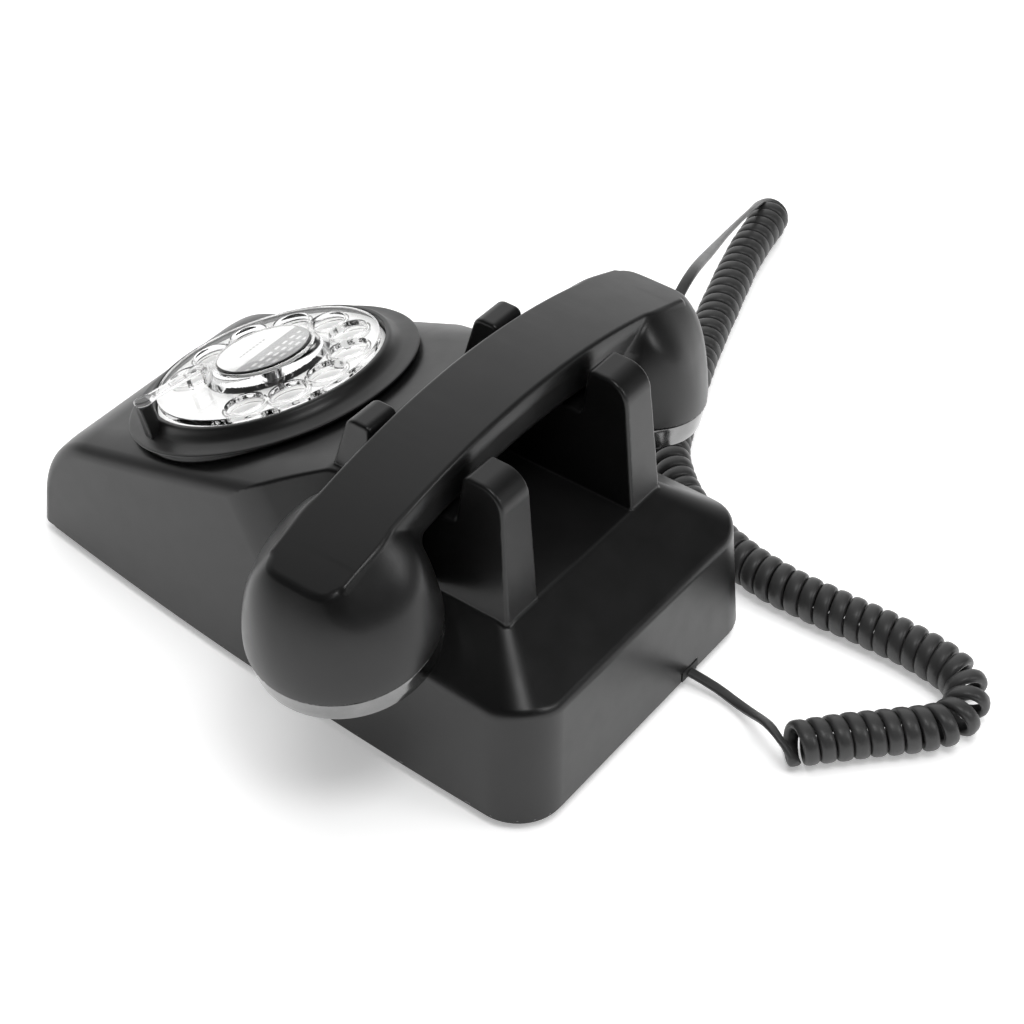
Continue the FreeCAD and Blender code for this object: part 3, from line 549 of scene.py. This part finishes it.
def merge(a, b, r=0.0, c=0.0):
    """Union of two regions with a rounded inner corner."""
    return -meet(-a, -b, r, c)


def circle_through(p, q, s):
    """Centre and radius of the circle through three points of a plane."""
    a = np.array([[q[0] - p[0], q[1] - p[1]], [s[0] - p[0], s[1] - p[1]]]) * 2
    b = np.array([q[0] ** 2 - p[0] ** 2 + q[1] ** 2 - p[1] ** 2,
                  s[0] ** 2 - p[0] ** 2 + s[1] ** 2 - p[1] ** 2])
    x, y = np.linalg.solve(a, b)
    return x, y, hypot(p[0] - x, p[1] - y)


def smoothstep(share):
    """Share of 0 to 1 with a gentle start and end."""
    return share * share * (3.0 - 2.0 * share)


def box_field(x, y, z, low, high):
    """Near distance from a box between two corners."""
    gaps = [low[0] - x, x - high[0], low[1] - y, y - high[1], low[2] - z, z - high[2]]
    value = gaps[0]
    for gap in gaps[1:]:
        value = np.maximum(value, gap)
    return value


def slope_field(u, v, p, q):
    """Signed distance from the line through p and q, positive on its left-hand side when going p to q."""
    du, dv = q[0] - p[0], q[1] - p[1]
    size = hypot(du, dv)
    return ((v - p[1]) * du - (u - p[0]) * dv) / size


# ---------------------------------------------------------------- handset cord

# Route of the flat tail from the handset, over the far end of the coil, with the way its thin side faces
UPPER_TAIL = [
    ((-120.1, 52.5, 88.0), (0.5, 0.3, 0.8)), ((-128.0, 51.6, 93.0), (0.2, 0.3, 0.9)),
    ((-140.0, 48.6, 92.6), (0.2, 0.35, 0.9)),
    ((-156.0, 42.5, 85.5), (0.3, 0.3, 0.9)), ((-180.0, 32.0, 71.5), (0.3, 0.0, 0.95)),
    ((-208.0, 20.5, 57.0), (0.1, -0.5, 0.8)), ((-236.0, 10.5, 44.5), (-0.1, -0.7, 0.6)),
    ((-262.0, 2.0, 33.5), (-0.2, -0.8, 0.5)), ((-284.0, -5.0, 24.0), (-0.3, -0.6, 0.7)),
    ((-299.5, -10.6, 16.4), (-0.4, -0.6, 0.6)), ((-308.6, -10.8, 11.8), (-0.7, -0.6, 0.3)),
    ((-312.6, -6.4, 7.4), (-0.95, 0.0, -0.1)), ((-309.5, -1.6, 4.2), (-0.5, 0.7, -0.4)),
]
UPPER_COIL = [(-304.0, -5.5), (-288.0, -3.0), (-263.0, 2.5), (-233.0, 12.0), (-204.0, 21.5), (-176.0, 31.5)]
LOWER_COIL = [(-148.0, 43.0), (-126.72, 51.74), (-107.0, 71.0), (-94.0, 96.0), (-87.0, 124.0),
              (-87.0, 147.0), (-88.5, 168.0), (-89.0, 187.0), (-87.5, 203.5), (-84.5, 213.6),
              (-76.5, 220.4), (-66.1, 221.8), (-56.6, 217.2), (-46.0, 206.8), (-31.0, 191.8), (-14.0, 177.0)]
LOWER_TAIL = [
    ((-14.8, 172.2, 14.3), (-0.5, -0.2, 0.8)), ((-19.6, 165.4, 10.4), (-0.4, -0.3, 0.85)),
    ((-24.2, 157.6, 5.6), (-0.2, -0.3, 0.9)), ((-27.6, 148.4, 3.2), (0.0, -0.1, 1.0)),
    ((-29.0, 138.5, 4.2), (0.0, 0.0, 1.0)), ((-28.0, 128.0, 5.9), (0.0, 0.0, 1.0)),
]
COIL_HEIGHT = 9.0
COIL_STRAND_R = 7.0
COIL_PITCH = 6.5
COIL_TURN_POINTS = 12
COIL_FIRST_TURN = -0.16
COIL_END_MARGIN = 3.0
FINE_STEP = 0.1
BEND_WINDOW = 120
SPLINE_SHRINK = 0.966
STRAND_WIDTH, STRAND_THICK = 6.1, 3.7
TAIL_WIDTH, TAIL_THICK = 4.4, 2.2
CORD_RING = 14
CORD_EASE = 8.0


def nurbs_line(points, resolution):
    """Points, in millimetres, of a smooth NURBS line with the given control points."""
    curve = bpy.data.curves.new("route", "CURVE")
    curve.dimensions = "3D"
    spline = curve.splines.new("NURBS")
    spline.points.add(len(points) - 1)
    for place, p in zip(spline.points, points):
        place.co = (*(c * MM for c in p), 1.0)
    spline.order_u = 3
    spline.use_endpoint_u = True
    spline.resolution_u = resolution
    holder = bpy.data.objects.new("route", curve)
    scene.collection.objects.link(holder)
    bpy.context.view_layer.update()
    mesh = bpy.data.meshes.new_from_object(holder)
    line = np.array([v.co for v in mesh.vertices]) / MM
    bpy.data.objects.remove(holder)
    bpy.data.meshes.remove(mesh)
    bpy.data.curves.remove(curve)
    return line


def coil_points():
    """Control points of the curly part, with the outward direction at each: the turns open out in a bend."""
    axis = nurbs_line([(x, y, COIL_HEIGHT) for x, y in UPPER_COIL + LOWER_COIL], 24)
    steps = np.linalg.norm(np.diff(axis, axis=0), axis=1)
    run = np.concatenate([[0.0], np.cumsum(steps)])
    fine = np.arange(COIL_END_MARGIN, run[-1] - COIL_END_MARGIN, FINE_STEP)
    centre = np.stack([np.interp(fine, run, axis[:, k]) for k in range(3)], 1)
    along = np.gradient(centre, axis=0)
    along /= np.linalg.norm(along, axis=1, keepdims=True)
    heading = np.unwrap(np.arctan2(along[:, 1], along[:, 0]))
    window = np.ones(BEND_WINDOW) / BEND_WINDOW
    bend = np.abs(np.convolve(np.gradient(heading) / FINE_STEP, window, mode="same"))
    pitch = np.maximum(COIL_PITCH, (COIL_PITCH - 0.9) / (1.0 - bend * (COIL_STRAND_R - 1.0)))
    phase = COIL_FIRST_TURN + np.cumsum(FINE_STEP / pitch)
    count = int((phase[-1] - phase[0]) * COIL_TURN_POINTS)
    wanted = phase[0] + np.arange(count + 1) / COIL_TURN_POINTS
    points = []
    for turn in wanted:
        k = min(int(np.searchsorted(phase, turn)), len(fine) - 1)
        level = np.array([-along[k, 1], along[k, 0], 0.0])
        outward = cos(2 * pi * turn) * level + sin(2 * pi * turn) * np.array([0.0, 0.0, 1.0])
        wobble = 1.0 + 0.012 * sin(turn * 1.7) + 0.01 * sin(turn * 0.61 + 1.0)
        radius = COIL_STRAND_R * wobble / SPLINE_SHRINK
        points.append((centre[k] + outward * radius, outward))
    return points


def make_cord():
    """The whole handset cord: a rounded strip swept along its route, wider where it is coiled."""
    coil = coil_points()
    controls = UPPER_TAIL + coil + LOWER_TAIL
    line = nurbs_line([p for p, _ in controls], 3)
    spot = np.linspace(0, len(controls) - 1, len(line))
    facing = np.array([n for _, n in controls])
    facing = np.stack([np.interp(spot, np.arange(len(controls)), facing[:, k]) for k in range(3)], 1)
    tangent = np.gradient(line, axis=0)
    tangent /= np.linalg.norm(tangent, axis=1, keepdims=True)
    facing -= (facing * tangent).sum(1, keepdims=True) * tangent
    facing /= np.linalg.norm(facing, axis=1, keepdims=True)
    across = np.cross(tangent, facing)
    coil_start, coil_end = len(UPPER_TAIL), len(UPPER_TAIL) + len(coil) - 1
    growing = np.clip((spot - coil_start + 2) / CORD_EASE, 0, 1)
    share = growing * np.clip((coil_end + 2 - spot) / CORD_EASE, 0, 1)
    share = smoothstep(share)
    width = TAIL_WIDTH + (STRAND_WIDTH - TAIL_WIDTH) * share
    thick = TAIL_THICK + (STRAND_THICK - TAIL_THICK) * share
    points = []
    for k in range(CORD_RING):
        a = 2 * pi * k / CORD_RING
        u = np.sign(cos(a)) * abs(cos(a)) ** 0.8
        v = np.sign(sin(a)) * abs(sin(a)) ** 0.8
        points.append(line + across * (width * u / 2)[:, None] + facing * (thick * v / 2)[:, None])
    points = np.stack(points, 1).reshape(-1, 3)
    rows = len(line)
    faces = []
    for i in range(rows - 1):
        here, ahead = i * CORD_RING, (i + 1) * CORD_RING
        for k in range(CORD_RING):
            j = (k + 1) % CORD_RING
            faces.append((here + k, ahead + k, ahead + j, here + j))
    faces.append(tuple(range(CORD_RING)))
    faces.append(tuple((rows - 1) * CORD_RING + k for k in reversed(range(CORD_RING))))
    piece = mesh_from("handset_cord", points, faces, CORD_BLACK, None, 60,
                      ("cord_tail_upper", "cord_coil_upper", "cord_coil_lower", "cord_tail_lower"))
    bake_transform(piece)


# ---------------------------------------------------------------- case

# Sizes shared with the CAD case: walls lean in by the draft, hips slope from the ridge up to the deck
CASE_BOTTOM = 4.0
FRONT_Y, REAR_Y = -128.0, 128.0
FRONT_HALF, REAR_HALF = 57.8, 75.0
SIDE_BULGE = 4.0
DRAFT = tan(radians(4.3))
SEAT_GAP = 3.2
RIDGE_Z, DECK_Z = 51.6, 69.4
DECK_HALF, DECK_REAR = 48.2, 96.4
BROW_Y, BROW_BACK_Y = 17.5, 32.8
HIP_FRONT_Y = -8.0
SADDLE_Z, EAR_TOP = 103.2, 124.0
EAR_INNER, EAR_LOW, EAR_HIGH = 29.1, 47.6, 44.6
WALL = 2.6
ROLL_START, ROLL_RUN, ROLL_DROP = 42.0, 22.0, 5.5
SCREW_POSTS = ((44.0, -112.0), (56.0, 106.0))
PLUNGER_X, PLUNGER_Y = 38.0, 53.2
CORD_OPENING = ((-33.0, 116.0, 0.0), (-23.0, 140.0, 8.8))
LINE_OPENING = ((-90.0, 60.0, 5.0), (-60.0, 76.0, 19.0))


def plane_normal(p, q, s):
    """Unit normal, towards +x, of the plane through three points."""
    normal = (Vector(q) - Vector(p)).cross(Vector(s) - Vector(p)).normalized()
    return -normal if normal.x < 0 else normal


# Plane of the facet that cuts each shoulder between the slope and the cradle
CHEEK_POINT = (63.5, -10.5, 83.0)
CHEEK_NORMAL = plane_normal(CHEEK_POINT, (68.5, 9.0, RIDGE_Z), (49.3, BROW_Y, 101.0))


def slope_height(y):
    """Height of the sloping top under the dial."""
    return DIAL_Z - SEAT_GAP / cos(DIAL_TILT) + (y - DIAL_Y) * tan(DIAL_TILT)


# Plan of the bowed side wall, as a circle through a front, a middle and a rear point
SIDE_X, SIDE_Y, SIDE_R = circle_through(
    (FRONT_HALF, FRONT_Y + 7.0),
    ((FRONT_HALF + REAR_HALF) / 2 + SIDE_BULGE, 3.0),
    (REAR_HALF, REAR_Y - 20.0))


def dial_place(x, y, z):
    """(distance from the dial's axis, height over its flange plane)."""
    up = (y - DIAL_Y) * cos(DIAL_TILT) + (z - DIAL_Z) * sin(DIAL_TILT)
    height = -(y - DIAL_Y) * sin(DIAL_TILT) + (z - DIAL_Z) * cos(DIAL_TILT)
    return np.sqrt(x * x + up * up), height


def case_outline(x, y, z):
    """Outer form of the case before it is hollowed."""
    ax = np.abs(x)
    taper = DRAFT * (z - CASE_BOTTOM)
    lean = 1.0 / sqrt(1.0 + DRAFT ** 2)
    side = (np.sqrt((ax - SIDE_X) ** 2 + (y - SIDE_Y) ** 2) - SIDE_R + taper) * lean
    front = (FRONT_Y - y + taper) * lean
    rear = (y - REAR_Y + taper) * lean
    roll_off = ROLL_DROP * (np.clip(ax - ROLL_START, 0.0, 60.0) / ROLL_RUN) ** 2
    slope = (z + roll_off - slope_height(y)) * cos(DIAL_TILT)
    brow = z + roll_off - slope_height(BROW_Y)
    wedge = meet(meet(slope, brow, 6.0, cos(DIAL_TILT)), y - BROW_BACK_Y, 2.0)
    nx, ny, nz = CHEEK_NORMAL
    cheek = (ax - CHEEK_POINT[0]) * nx + (y - CHEEK_POINT[1]) * ny + (z - CHEEK_POINT[2]) * nz
    wedge = meet(wedge, cheek, 1.2, 0.2)
    hip_rise = DECK_Z - RIDGE_Z
    ridge_half = REAR_HALF - DRAFT * (RIDGE_Z - CASE_BOTTOM)
    ridge_rear = REAR_Y - DRAFT * (RIDGE_Z - CASE_BOTTOM)
    side_run, rear_run = ridge_half - DECK_HALF, ridge_rear - DECK_REAR
    hip_side = ((ax - ridge_half) * hip_rise + (z - RIDGE_Z) * side_run) / hypot(hip_rise, side_run)
    hip_rear = ((y - ridge_rear) * hip_rise + (z - RIDGE_Z) * rear_run) / hypot(hip_rise, rear_run)
    corner_r = 13.0 + 7.0 * np.clip((DECK_Z - z) / hip_rise, 0, 1.2)
    hips = meet(hip_side, hip_rear, corner_r, 0.67)
    hips = np.maximum(meet(hips, z - DECK_Z, 3.5, 0.82), HIP_FRONT_Y - y)
    roof = meet(merge(wedge, hips, 1.2), front, 36.0, sin(DIAL_TILT))
    toward_rear = smoothstep(np.clip((y - 4.0) / 22.0, 0.0, 1.0))
    whole = meet(meet(side, rear, 20.0), roof, 4.5 + 1.5 * toward_rear, 0.07 + 0.58 * toward_rear)
    ear_side = ax - EAR_LOW + (z - DECK_Z) * (EAR_LOW - EAR_HIGH) / (EAR_TOP - DECK_Z)
    cheeks = meet(ear_side, EAR_INNER - ax, 1.0)
    back = slope_field(y, z, (91.4, 115.0), (DECK_REAR, DECK_Z))
    front_face = slope_field(y, z, (BROW_Y, 101.5), (22.4, 120.4))
    inner_front = -slope_field(y, z, (35.4, SADDLE_Z), (33.7, 121.3))
    inner_rear = -slope_field(y, z, (73.4, 121.3), (71.6, SADDLE_Z))
    ear_front = meet(meet(front_face, z - EAR_TOP, 4.2, 0.2), inner_front, 2.6)
    ear_rear = meet(inner_rear, z - EAR_TOP, 2.6)
    saddle = np.maximum(z - SADDLE_Z, 27.0 - y)
    profile = meet(merge(merge(ear_front, saddle, 1.5), ear_rear, 1.5), back, 10.0, 0.1)
    profile = np.maximum(profile, DECK_Z - 6.0 - z)
    walls = meet(profile, cheeks, 1.3)
    whole = merge(whole, walls, 0.8)
    r, h = dial_place(x, y, z)
    seat = meet(meet(r - 55.0, h + 2.0, 0.6), -9.0 - h)
    return merge(whole, seat, 0.6)


def case_field(x, y, z):
    """The hollow case with its screw posts and its openings."""
    outer = case_outline(x, y, z)
    shell = meet(outer, -(outer + WALL))
    for sx, sy in SCREW_POSTS:
        post = np.sqrt((np.abs(x) - sx) ** 2 + (y - sy) ** 2)
        shell = np.minimum(shell, np.maximum(np.maximum(post - 4.0, z - 30.0), outer))
        shell = np.maximum(shell, -np.maximum(post - 1.6, z - 16.0))
    r, h = dial_place(x, y, z)
    shell = np.maximum(shell, -np.maximum(r - 43.2, -30.0 - h))
    pin = np.sqrt((np.abs(x) - PLUNGER_X) ** 2 + (y - PLUNGER_Y) ** 2)
    shell = meet(shell, -np.maximum(pin - 3.4, 90.0 - z), 0.5)
    for low, high in (CORD_OPENING, LINE_OPENING):
        shell = np.maximum(shell, -box_field(x, y, z, low, high))
    return meet(shell, CASE_BOTTOM - z, 0.4)


def make_case():
    step = 0.9
    skin("case", case_field, (-77.3, -130.3, 2.2), (77.3, 130.3, 126.0), step, 0.45, CASE_BLACK,
         "telephone", ("case_shell",))


# ---------------------------------------------------------------- handset

HANDSET_Y = 52.5
ARCH_TOP, ARCH_R = 128.5, 297.0
STRIP_HALF = 17.3
SHOULDER_SLOPE = 1.1
STRIP_END = radians(20.2)
HANDLE_DEPTH = 21.0
CUP_X, CUP_Z, CUP_R, CUP_HEIGHT, CUP_TILT = 83.6, 72.9, 35.2, 42.4, radians(12.0)
CUP_RISE_INNER, CUP_RISE_OUTER, CUP_RISE_SIDE = 52.5, 49.4, 50.5
HOLLOW_R, HOLLOW_HEIGHT = 32.2, 31.7
RELIEF_Z, RELIEF_HOLE_R = 88.0, 3.4


CAP_OUTLINE = [(29.2, 5.0, 0), (31.0, 5.0, 0.3), (31.0, -0.4, 0.2), (34.7, -0.4, 0.3), (34.7, -2.0, 0.3),
               (34.6, -6.5, 2.6), (34.2, -9.2, 0.8), (25.0, -9.0, 3.0), (16.0, -6.8, 3.0), (0.0, -6.0, 0),
               (0.0, -3.8, 0), (15.0, -4.4, 1.0), (24.0, -6.4, 1.0), (30.6, -6.4, 1.0), (29.2, -3.0, 0)]
SOUND_RINGS = ((4.2, 6), (8.5, 12))
SOUND_HOLE_R = 0.9
BAND_INNER_R = 33.0


def cup_place(x, y, z):
    """(outwards, sideways, height over the rim plane) in the nearer cup."""
    ax = np.abs(x) - CUP_X
    up = z - CUP_Z
    return (ax * cos(CUP_TILT) - up * sin(CUP_TILT), y - HANDSET_Y,
            ax * sin(CUP_TILT) + up * cos(CUP_TILT))


def dome(r, h, radius, height):
    """Half-ellipsoid over the rim plane, as a near distance."""
    k = np.sqrt((r / radius) ** 2 + (h / height) ** 2)
    g = np.sqrt((r / radius ** 2) ** 2 + (h / height ** 2) ** 2)
    return k * (k - 1.0) / np.maximum(g, 1e-6)


def cup_shell(u, v, h):
    """Cup that is round at the rim and squares up towards the end of the handle."""
    outer = smoothstep(np.clip(u / 24.0 + 0.5, 0.0, 1.0))
    bulge = 2.0 - 0.4 * outer
    part_u = np.clip(h / (CUP_RISE_INNER + (CUP_RISE_OUTER - CUP_RISE_INNER) * outer), 0.0, 0.999)
    part_v = np.clip(h / CUP_RISE_SIDE, 0.0, 0.999)
    reach_u = CUP_R * (1.0 - part_u ** bulge) ** (1.0 / bulge)
    reach_v = CUP_R * (1.0 - part_v ** bulge) ** (1.0 / bulge)
    high = np.clip(h / CUP_HEIGHT, 0.0, 1.0)
    power = 2.0 + 2.3 * high ** 3
    k = ((np.abs(u) / reach_u + 1e-4) ** power + (np.abs(v) / reach_v + 1e-4) ** power) ** (1.0 / power)
    across = np.hypot(u, v)
    reach = across / k
    steep = reach / np.hypot(reach, CUP_R ** 2 * h / CUP_RISE_SIDE ** 2)
    return across * (1.0 - 1.0 / k) * steep


def handset_field(x, y, z):
    """Arched handle with a flat top strip, merged into the two hollow cups."""
    ay = np.abs(y - HANDSET_Y)
    centre = ARCH_TOP - ARCH_R
    crown = np.sqrt(x * x + (z - centre) ** 2) - ARCH_R
    depth = -crown
    half = STRIP_HALF - 0.075 * depth - 0.0018 * np.maximum(depth - 6.0, 0.0) ** 2
    flank = (ay - half) * 0.985
    under = depth - HANDLE_DEPTH
    handle = meet(flank, under, 6.5, 0.1)
    end = np.abs(x) * cos(STRIP_END) - (z - centre) * sin(STRIP_END)
    handle = meet(handle, end, 1.5)
    u, v, h = cup_place(x, y, z)
    cup = np.maximum(cup_shell(u, v, h), -h)
    body = merge(handle, cup, np.clip(depth * 0.35 - 0.5, 0.4, 4.0))
    shoulder = (ay - STRIP_HALF - SHOULDER_SLOPE * depth) / hypot(1.0, SHOULDER_SLOPE)
    body = meet(meet(body, shoulder, 7.0, 0.3), crown, 1.2, 0.1)
    body = np.maximum(body, -h - 60.0 * (np.abs(x) < 40.0))
    hollow = np.maximum(dome(np.hypot(u, v), h, HOLLOW_R, HOLLOW_HEIGHT), -h - 1.0)
    body = np.maximum(body, -hollow)
    hole = np.sqrt((y - HANDSET_Y) ** 2 + (z - RELIEF_Z) ** 2) - RELIEF_HOLE_R
    return np.maximum(body, -np.maximum(hole, x + CUP_X))


def make_handset():
    step = 0.8
    skin("handset", handset_field, (-122.5, 14.3, 62.3), (122.5, 90.7, 130.1), step, 0.5, CASE_BLACK,
         "handset", ("handset_shell",))


def sound_holes(place):
    """Object made of the drills for the sound holes of a cap."""
    drills = bmesh.new()
    for ring_r, count in SOUND_RINGS:
        for k in range(count):
            a = 2 * pi * k / count
            spot = Matrix.Translation((ring_r * cos(a), ring_r * sin(a), -7.0))
            bmesh.ops.create_cone(drills, cap_ends=True, segments=16, radius1=SOUND_HOLE_R,
                                  radius2=SOUND_HOLE_R, depth=8.0, matrix=spot)
    mesh = bpy.data.meshes.new("drills")
    drills.to_mesh(mesh)
    drills.free()
    mesh.transform(TO_METRES @ place)
    tool = bpy.data.objects.new("drills", mesh)
    scene.collection.objects.link(tool)
    return tool


def make_caps():
    """Screwed-on caps of the two cups, with rings of sound holes and a polished band round the edge."""
    for name, side in (("earpiece_cap", 1), ("mouthpiece_cap", -1)):
        place = (Matrix.Translation((side * CUP_X, HANDSET_Y, CUP_Z))
                 @ Matrix.Rotation(side * CUP_TILT, 4, "Y"))
        cap = lathe("visual_" + name, CAP_OUTLINE[::-1], CAP_BLACK, None, (), place)
        tool = sound_holes(place)
        drill = cap.modifiers.new("holes", "BOOLEAN")
        drill.operation = "DIFFERENCE"
        drill.solver = "EXACT"
        drill.object = tool
        mesh = settled_mesh(cap)
        bpy.data.objects.remove(tool)
        mesh.materials.append(TRIM)
        upright = place.to_3x3().inverted()
        into_cap = place.inverted() @ TO_METRES.inverted()
        for face in mesh.polygons:
            steep = abs((upright @ face.normal).z) < 0.6
            if steep and (into_cap @ face.center).to_2d().length > BAND_INNER_R:
                face.material_index = 1
        register(cap, "handset", (name,))


# ---------------------------------------------------------------- dial

DIAL = Matrix.Translation((0.0, DIAL_Y, DIAL_Z)) @ Matrix.Rotation(DIAL_TILT, 4, "X")
WHEEL_R = 44.8
WHEEL_LOW, WHEEL_TOP = 4.4, 6.9
HOLE_R, HOLE_RING = 7.4, 33.0
HOLES = [radians(27.0 + 30.0 * k) for k in range(10)]
DIGITS = "1234567890"
STOP_ANGLE = radians(-22.0)
STOP_TOP = 13.4
DRUM_R = 48.4
# The clear lug runs from the post at its base to the blade at its tip
LUG_TIP = (26.5 * cos(radians(-33.0)), 26.5 * sin(radians(-33.0)))
LUG_BASE = ((DRUM_R + 2.3) * cos(STOP_ANGLE), (DRUM_R + 2.3) * sin(STOP_ANGLE))
LUG_REACH = hypot(LUG_BASE[0] - LUG_TIP[0], LUG_BASE[1] - LUG_TIP[1])
LUG_TURN = atan2(LUG_BASE[1] - LUG_TIP[1], LUG_BASE[0] - LUG_TIP[0])
BEZEL_OUTLINE = [(45.2, -2.0, 0), (57.6, -1.5, 0.4), (58.4, -1.0, 0.4), (58.4, -0.3, 0.5), (57.7, 0.0, 0.5),
                 (54.5, 0.35, 2.0), (51.6, 1.1, 2.0), (49.9, 2.8, 2.0), (48.8, 5.0, 1.0), (48.1, 5.6, 0.5),
                 (46.8, 5.6, 0.4), (46.5, 5.1, 0.3), (46.5, 1.2, 0.2), (38.0, 1.2, 0.2), (38.0, -1.7, 0),
                 (45.2, -1.7, 0)]
PLATE_OUTLINE = [(5.2, 1.25, 0), (5.2, 2.05, 0.1), (45.9, 2.05, 0.25), (45.9, 1.25, 0)]
COVER_OUTLINE = [(0.0, 10.9, 0), (19.0, 10.9, 0.2), (19.0, 11.9, 0.4), (18.2, 12.4, 2.0), (0.0, 12.6, 0)]


def polygon_field(u, v, corners):
    """Exact signed distance to a polygon, negative inside."""
    best = np.full(np.broadcast(u, v).shape, 1e9, np.float32)
    side = np.ones_like(best)
    count = len(corners)
    for k in range(count):
        (au, av), (bu, bv) = corners[k], corners[k - 1]
        eu, ev = bu - au, bv - av
        wu, wv = u - au, v - av
        t = np.clip((wu * eu + wv * ev) / (eu * eu + ev * ev), 0, 1)
        best = np.minimum(best, (wu - eu * t) ** 2 + (wv - ev * t) ** 2)
        above, below = v >= av, v < bv
        left = eu * wv > ev * wu
        flip = (above & below & left) | (~above & ~below & ~left)
        side = np.where(flip, -side, side)
    return side * np.sqrt(best)


def wheel_field(x, y, z):
    """Clear finger wheel: flat disc, ten cupped holes and a raised hub round the label."""
    r = np.sqrt(x * x + y * y)
    outline = [(3.4, 3.75), (5.7, 3.75), (5.7, WHEEL_LOW + 0.35), (WHEEL_R - 0.35, WHEEL_LOW + 0.35),
               (WHEEL_R - 0.35, WHEEL_TOP - 0.35), (25.0, WHEEL_TOP - 0.35), (22.4, 7.9), (20.3, 11.6),
               (19.9, 11.85), (19.55, 11.5), (19.5, 9.85), (3.4, 9.85)]
    body = polygon_field(r, z, outline) - 0.35
    for a in HOLES:
        cx, cy = HOLE_RING * cos(a), HOLE_RING * sin(a)
        d = np.sqrt((x - cx) ** 2 + (y - cy) ** 2)
        cup = meet(np.abs(d - (HOLE_R + 0.6)) - 0.6 + 0.06 * (z - WHEEL_LOW), np.abs(z - 4.4) - 1.7, 0.4)
        body = merge(body, cup, 0.5)
        body = meet(body, HOLE_R - 0.1 * np.maximum(WHEEL_LOW - z, 0.0) - d, 0.6)
    return body


def stop_field(x, y, z):
    """Finger stop post, standing on the dish of the bezel."""
    block = meet(meet(np.abs(x - DRUM_R - 3.0) - 2.7, np.abs(y) - 3.6 + 0.05 * (z - 5.0), 0.9),
                 z - STOP_TOP, 0.5)
    return np.maximum(block, -0.6 - z)


def lug_field(x, y, z):
    """Clear cap of the finger stop: round boss, flat arm and the blade a finger meets."""
    t = np.clip(x, 0, LUG_REACH)
    rise = z - STOP_TOP
    arm = meet(np.sqrt((x - t) ** 2 + y * y) - 3.0, np.abs(rise - 0.85) - 0.75, 0.5)
    boss = meet(np.sqrt((x - LUG_REACH) ** 2 + y * y) - 3.8, np.abs(rise - 1.1) - 0.95, 0.6)
    blade = meet(meet(np.abs(x - 1.7) - 3.3, np.abs(y) - 2.2, 0.8), np.abs(z - 11.2) - 3.1, 0.5)
    return merge(merge(arm, boss, 0.6), blade, 0.5)


def make_digits():
    """Numbers printed on the plate, one under each finger hole, upright for the user."""
    joined = bmesh.new()
    for a, digit in zip(HOLES, DIGITS):
        text = bpy.data.curves.new("digit", "FONT")
        text.body = digit
        text.size = 8.5
        text.align_x, text.align_y = "CENTER", "CENTER"
        text.extrude = 0.04
        text.resolution_u = 4
        holder = bpy.data.objects.new("digit", text)
        scene.collection.objects.link(holder)
        bpy.context.view_layer.update()
        mesh = bpy.data.meshes.new_from_object(holder)
        mesh.transform(Matrix.Translation((HOLE_RING * cos(a), HOLE_RING * sin(a), 2.1)))
        joined.from_mesh(mesh)
        bpy.data.objects.remove(holder)
        bpy.data.curves.remove(text)
        bpy.data.meshes.remove(mesh)
    mesh = bpy.data.meshes.new("dial_digits")
    joined.to_mesh(mesh)
    joined.free()
    mesh.transform(TO_METRES @ DIAL)
    mesh.materials.append(INK)
    piece = bpy.data.objects.new("dial_digits", mesh)
    scene.collection.objects.link(piece)
    register(piece, "telephone")


def make_dial():
    """Bezel, number plate, finger wheel with its label cover, finger stop and digits."""
    lathe("bezel", BEZEL_OUTLINE[::-1], SATIN_BLACK, "telephone", ("dial_bezel",), DIAL,
          segments=192)
    lathe("plate", PLATE_OUTLINE[::-1], WHITE, "telephone", ("number_plate",), DIAL,
          segments=160)
    step = 0.4
    skin("wheel", wheel_field, (-45.7, -45.7, 1.9), (45.7, 45.7, 13.1), step, 0.6, CLEAR, "finger_dial",
         ("finger_wheel",), DIAL)
    lathe("cover", COVER_OUTLINE, CLEAR, "finger_dial", ("label_cover",), DIAL,
          closed=False)
    turned = DIAL @ Matrix.Rotation(STOP_ANGLE, 4, "Z")
    skin("stop_post", stop_field, (47.0, -5.0, -1.4), (55.5, 5.0, 14.6), 0.35, 0.6, SATIN_BLACK, "telephone",
         ("finger_stop",), turned)
    swung = DIAL @ Matrix.Translation((*LUG_TIP, 0.0)) @ Matrix.Rotation(LUG_TURN, 4, "Z")
    skin("stop_lug", lug_field, (-4.2, -5.0, 6.9), (LUG_REACH + 5.0, 5.0, 16.6), 0.3, 0.6, CLEAR,
         "telephone", ("finger_stop_lug",), swung)
    make_digits()


make_camera()
make_studio()
make_cord()
make_case()
make_handset()
make_caps()
make_dial()
dress_cad_nodes()
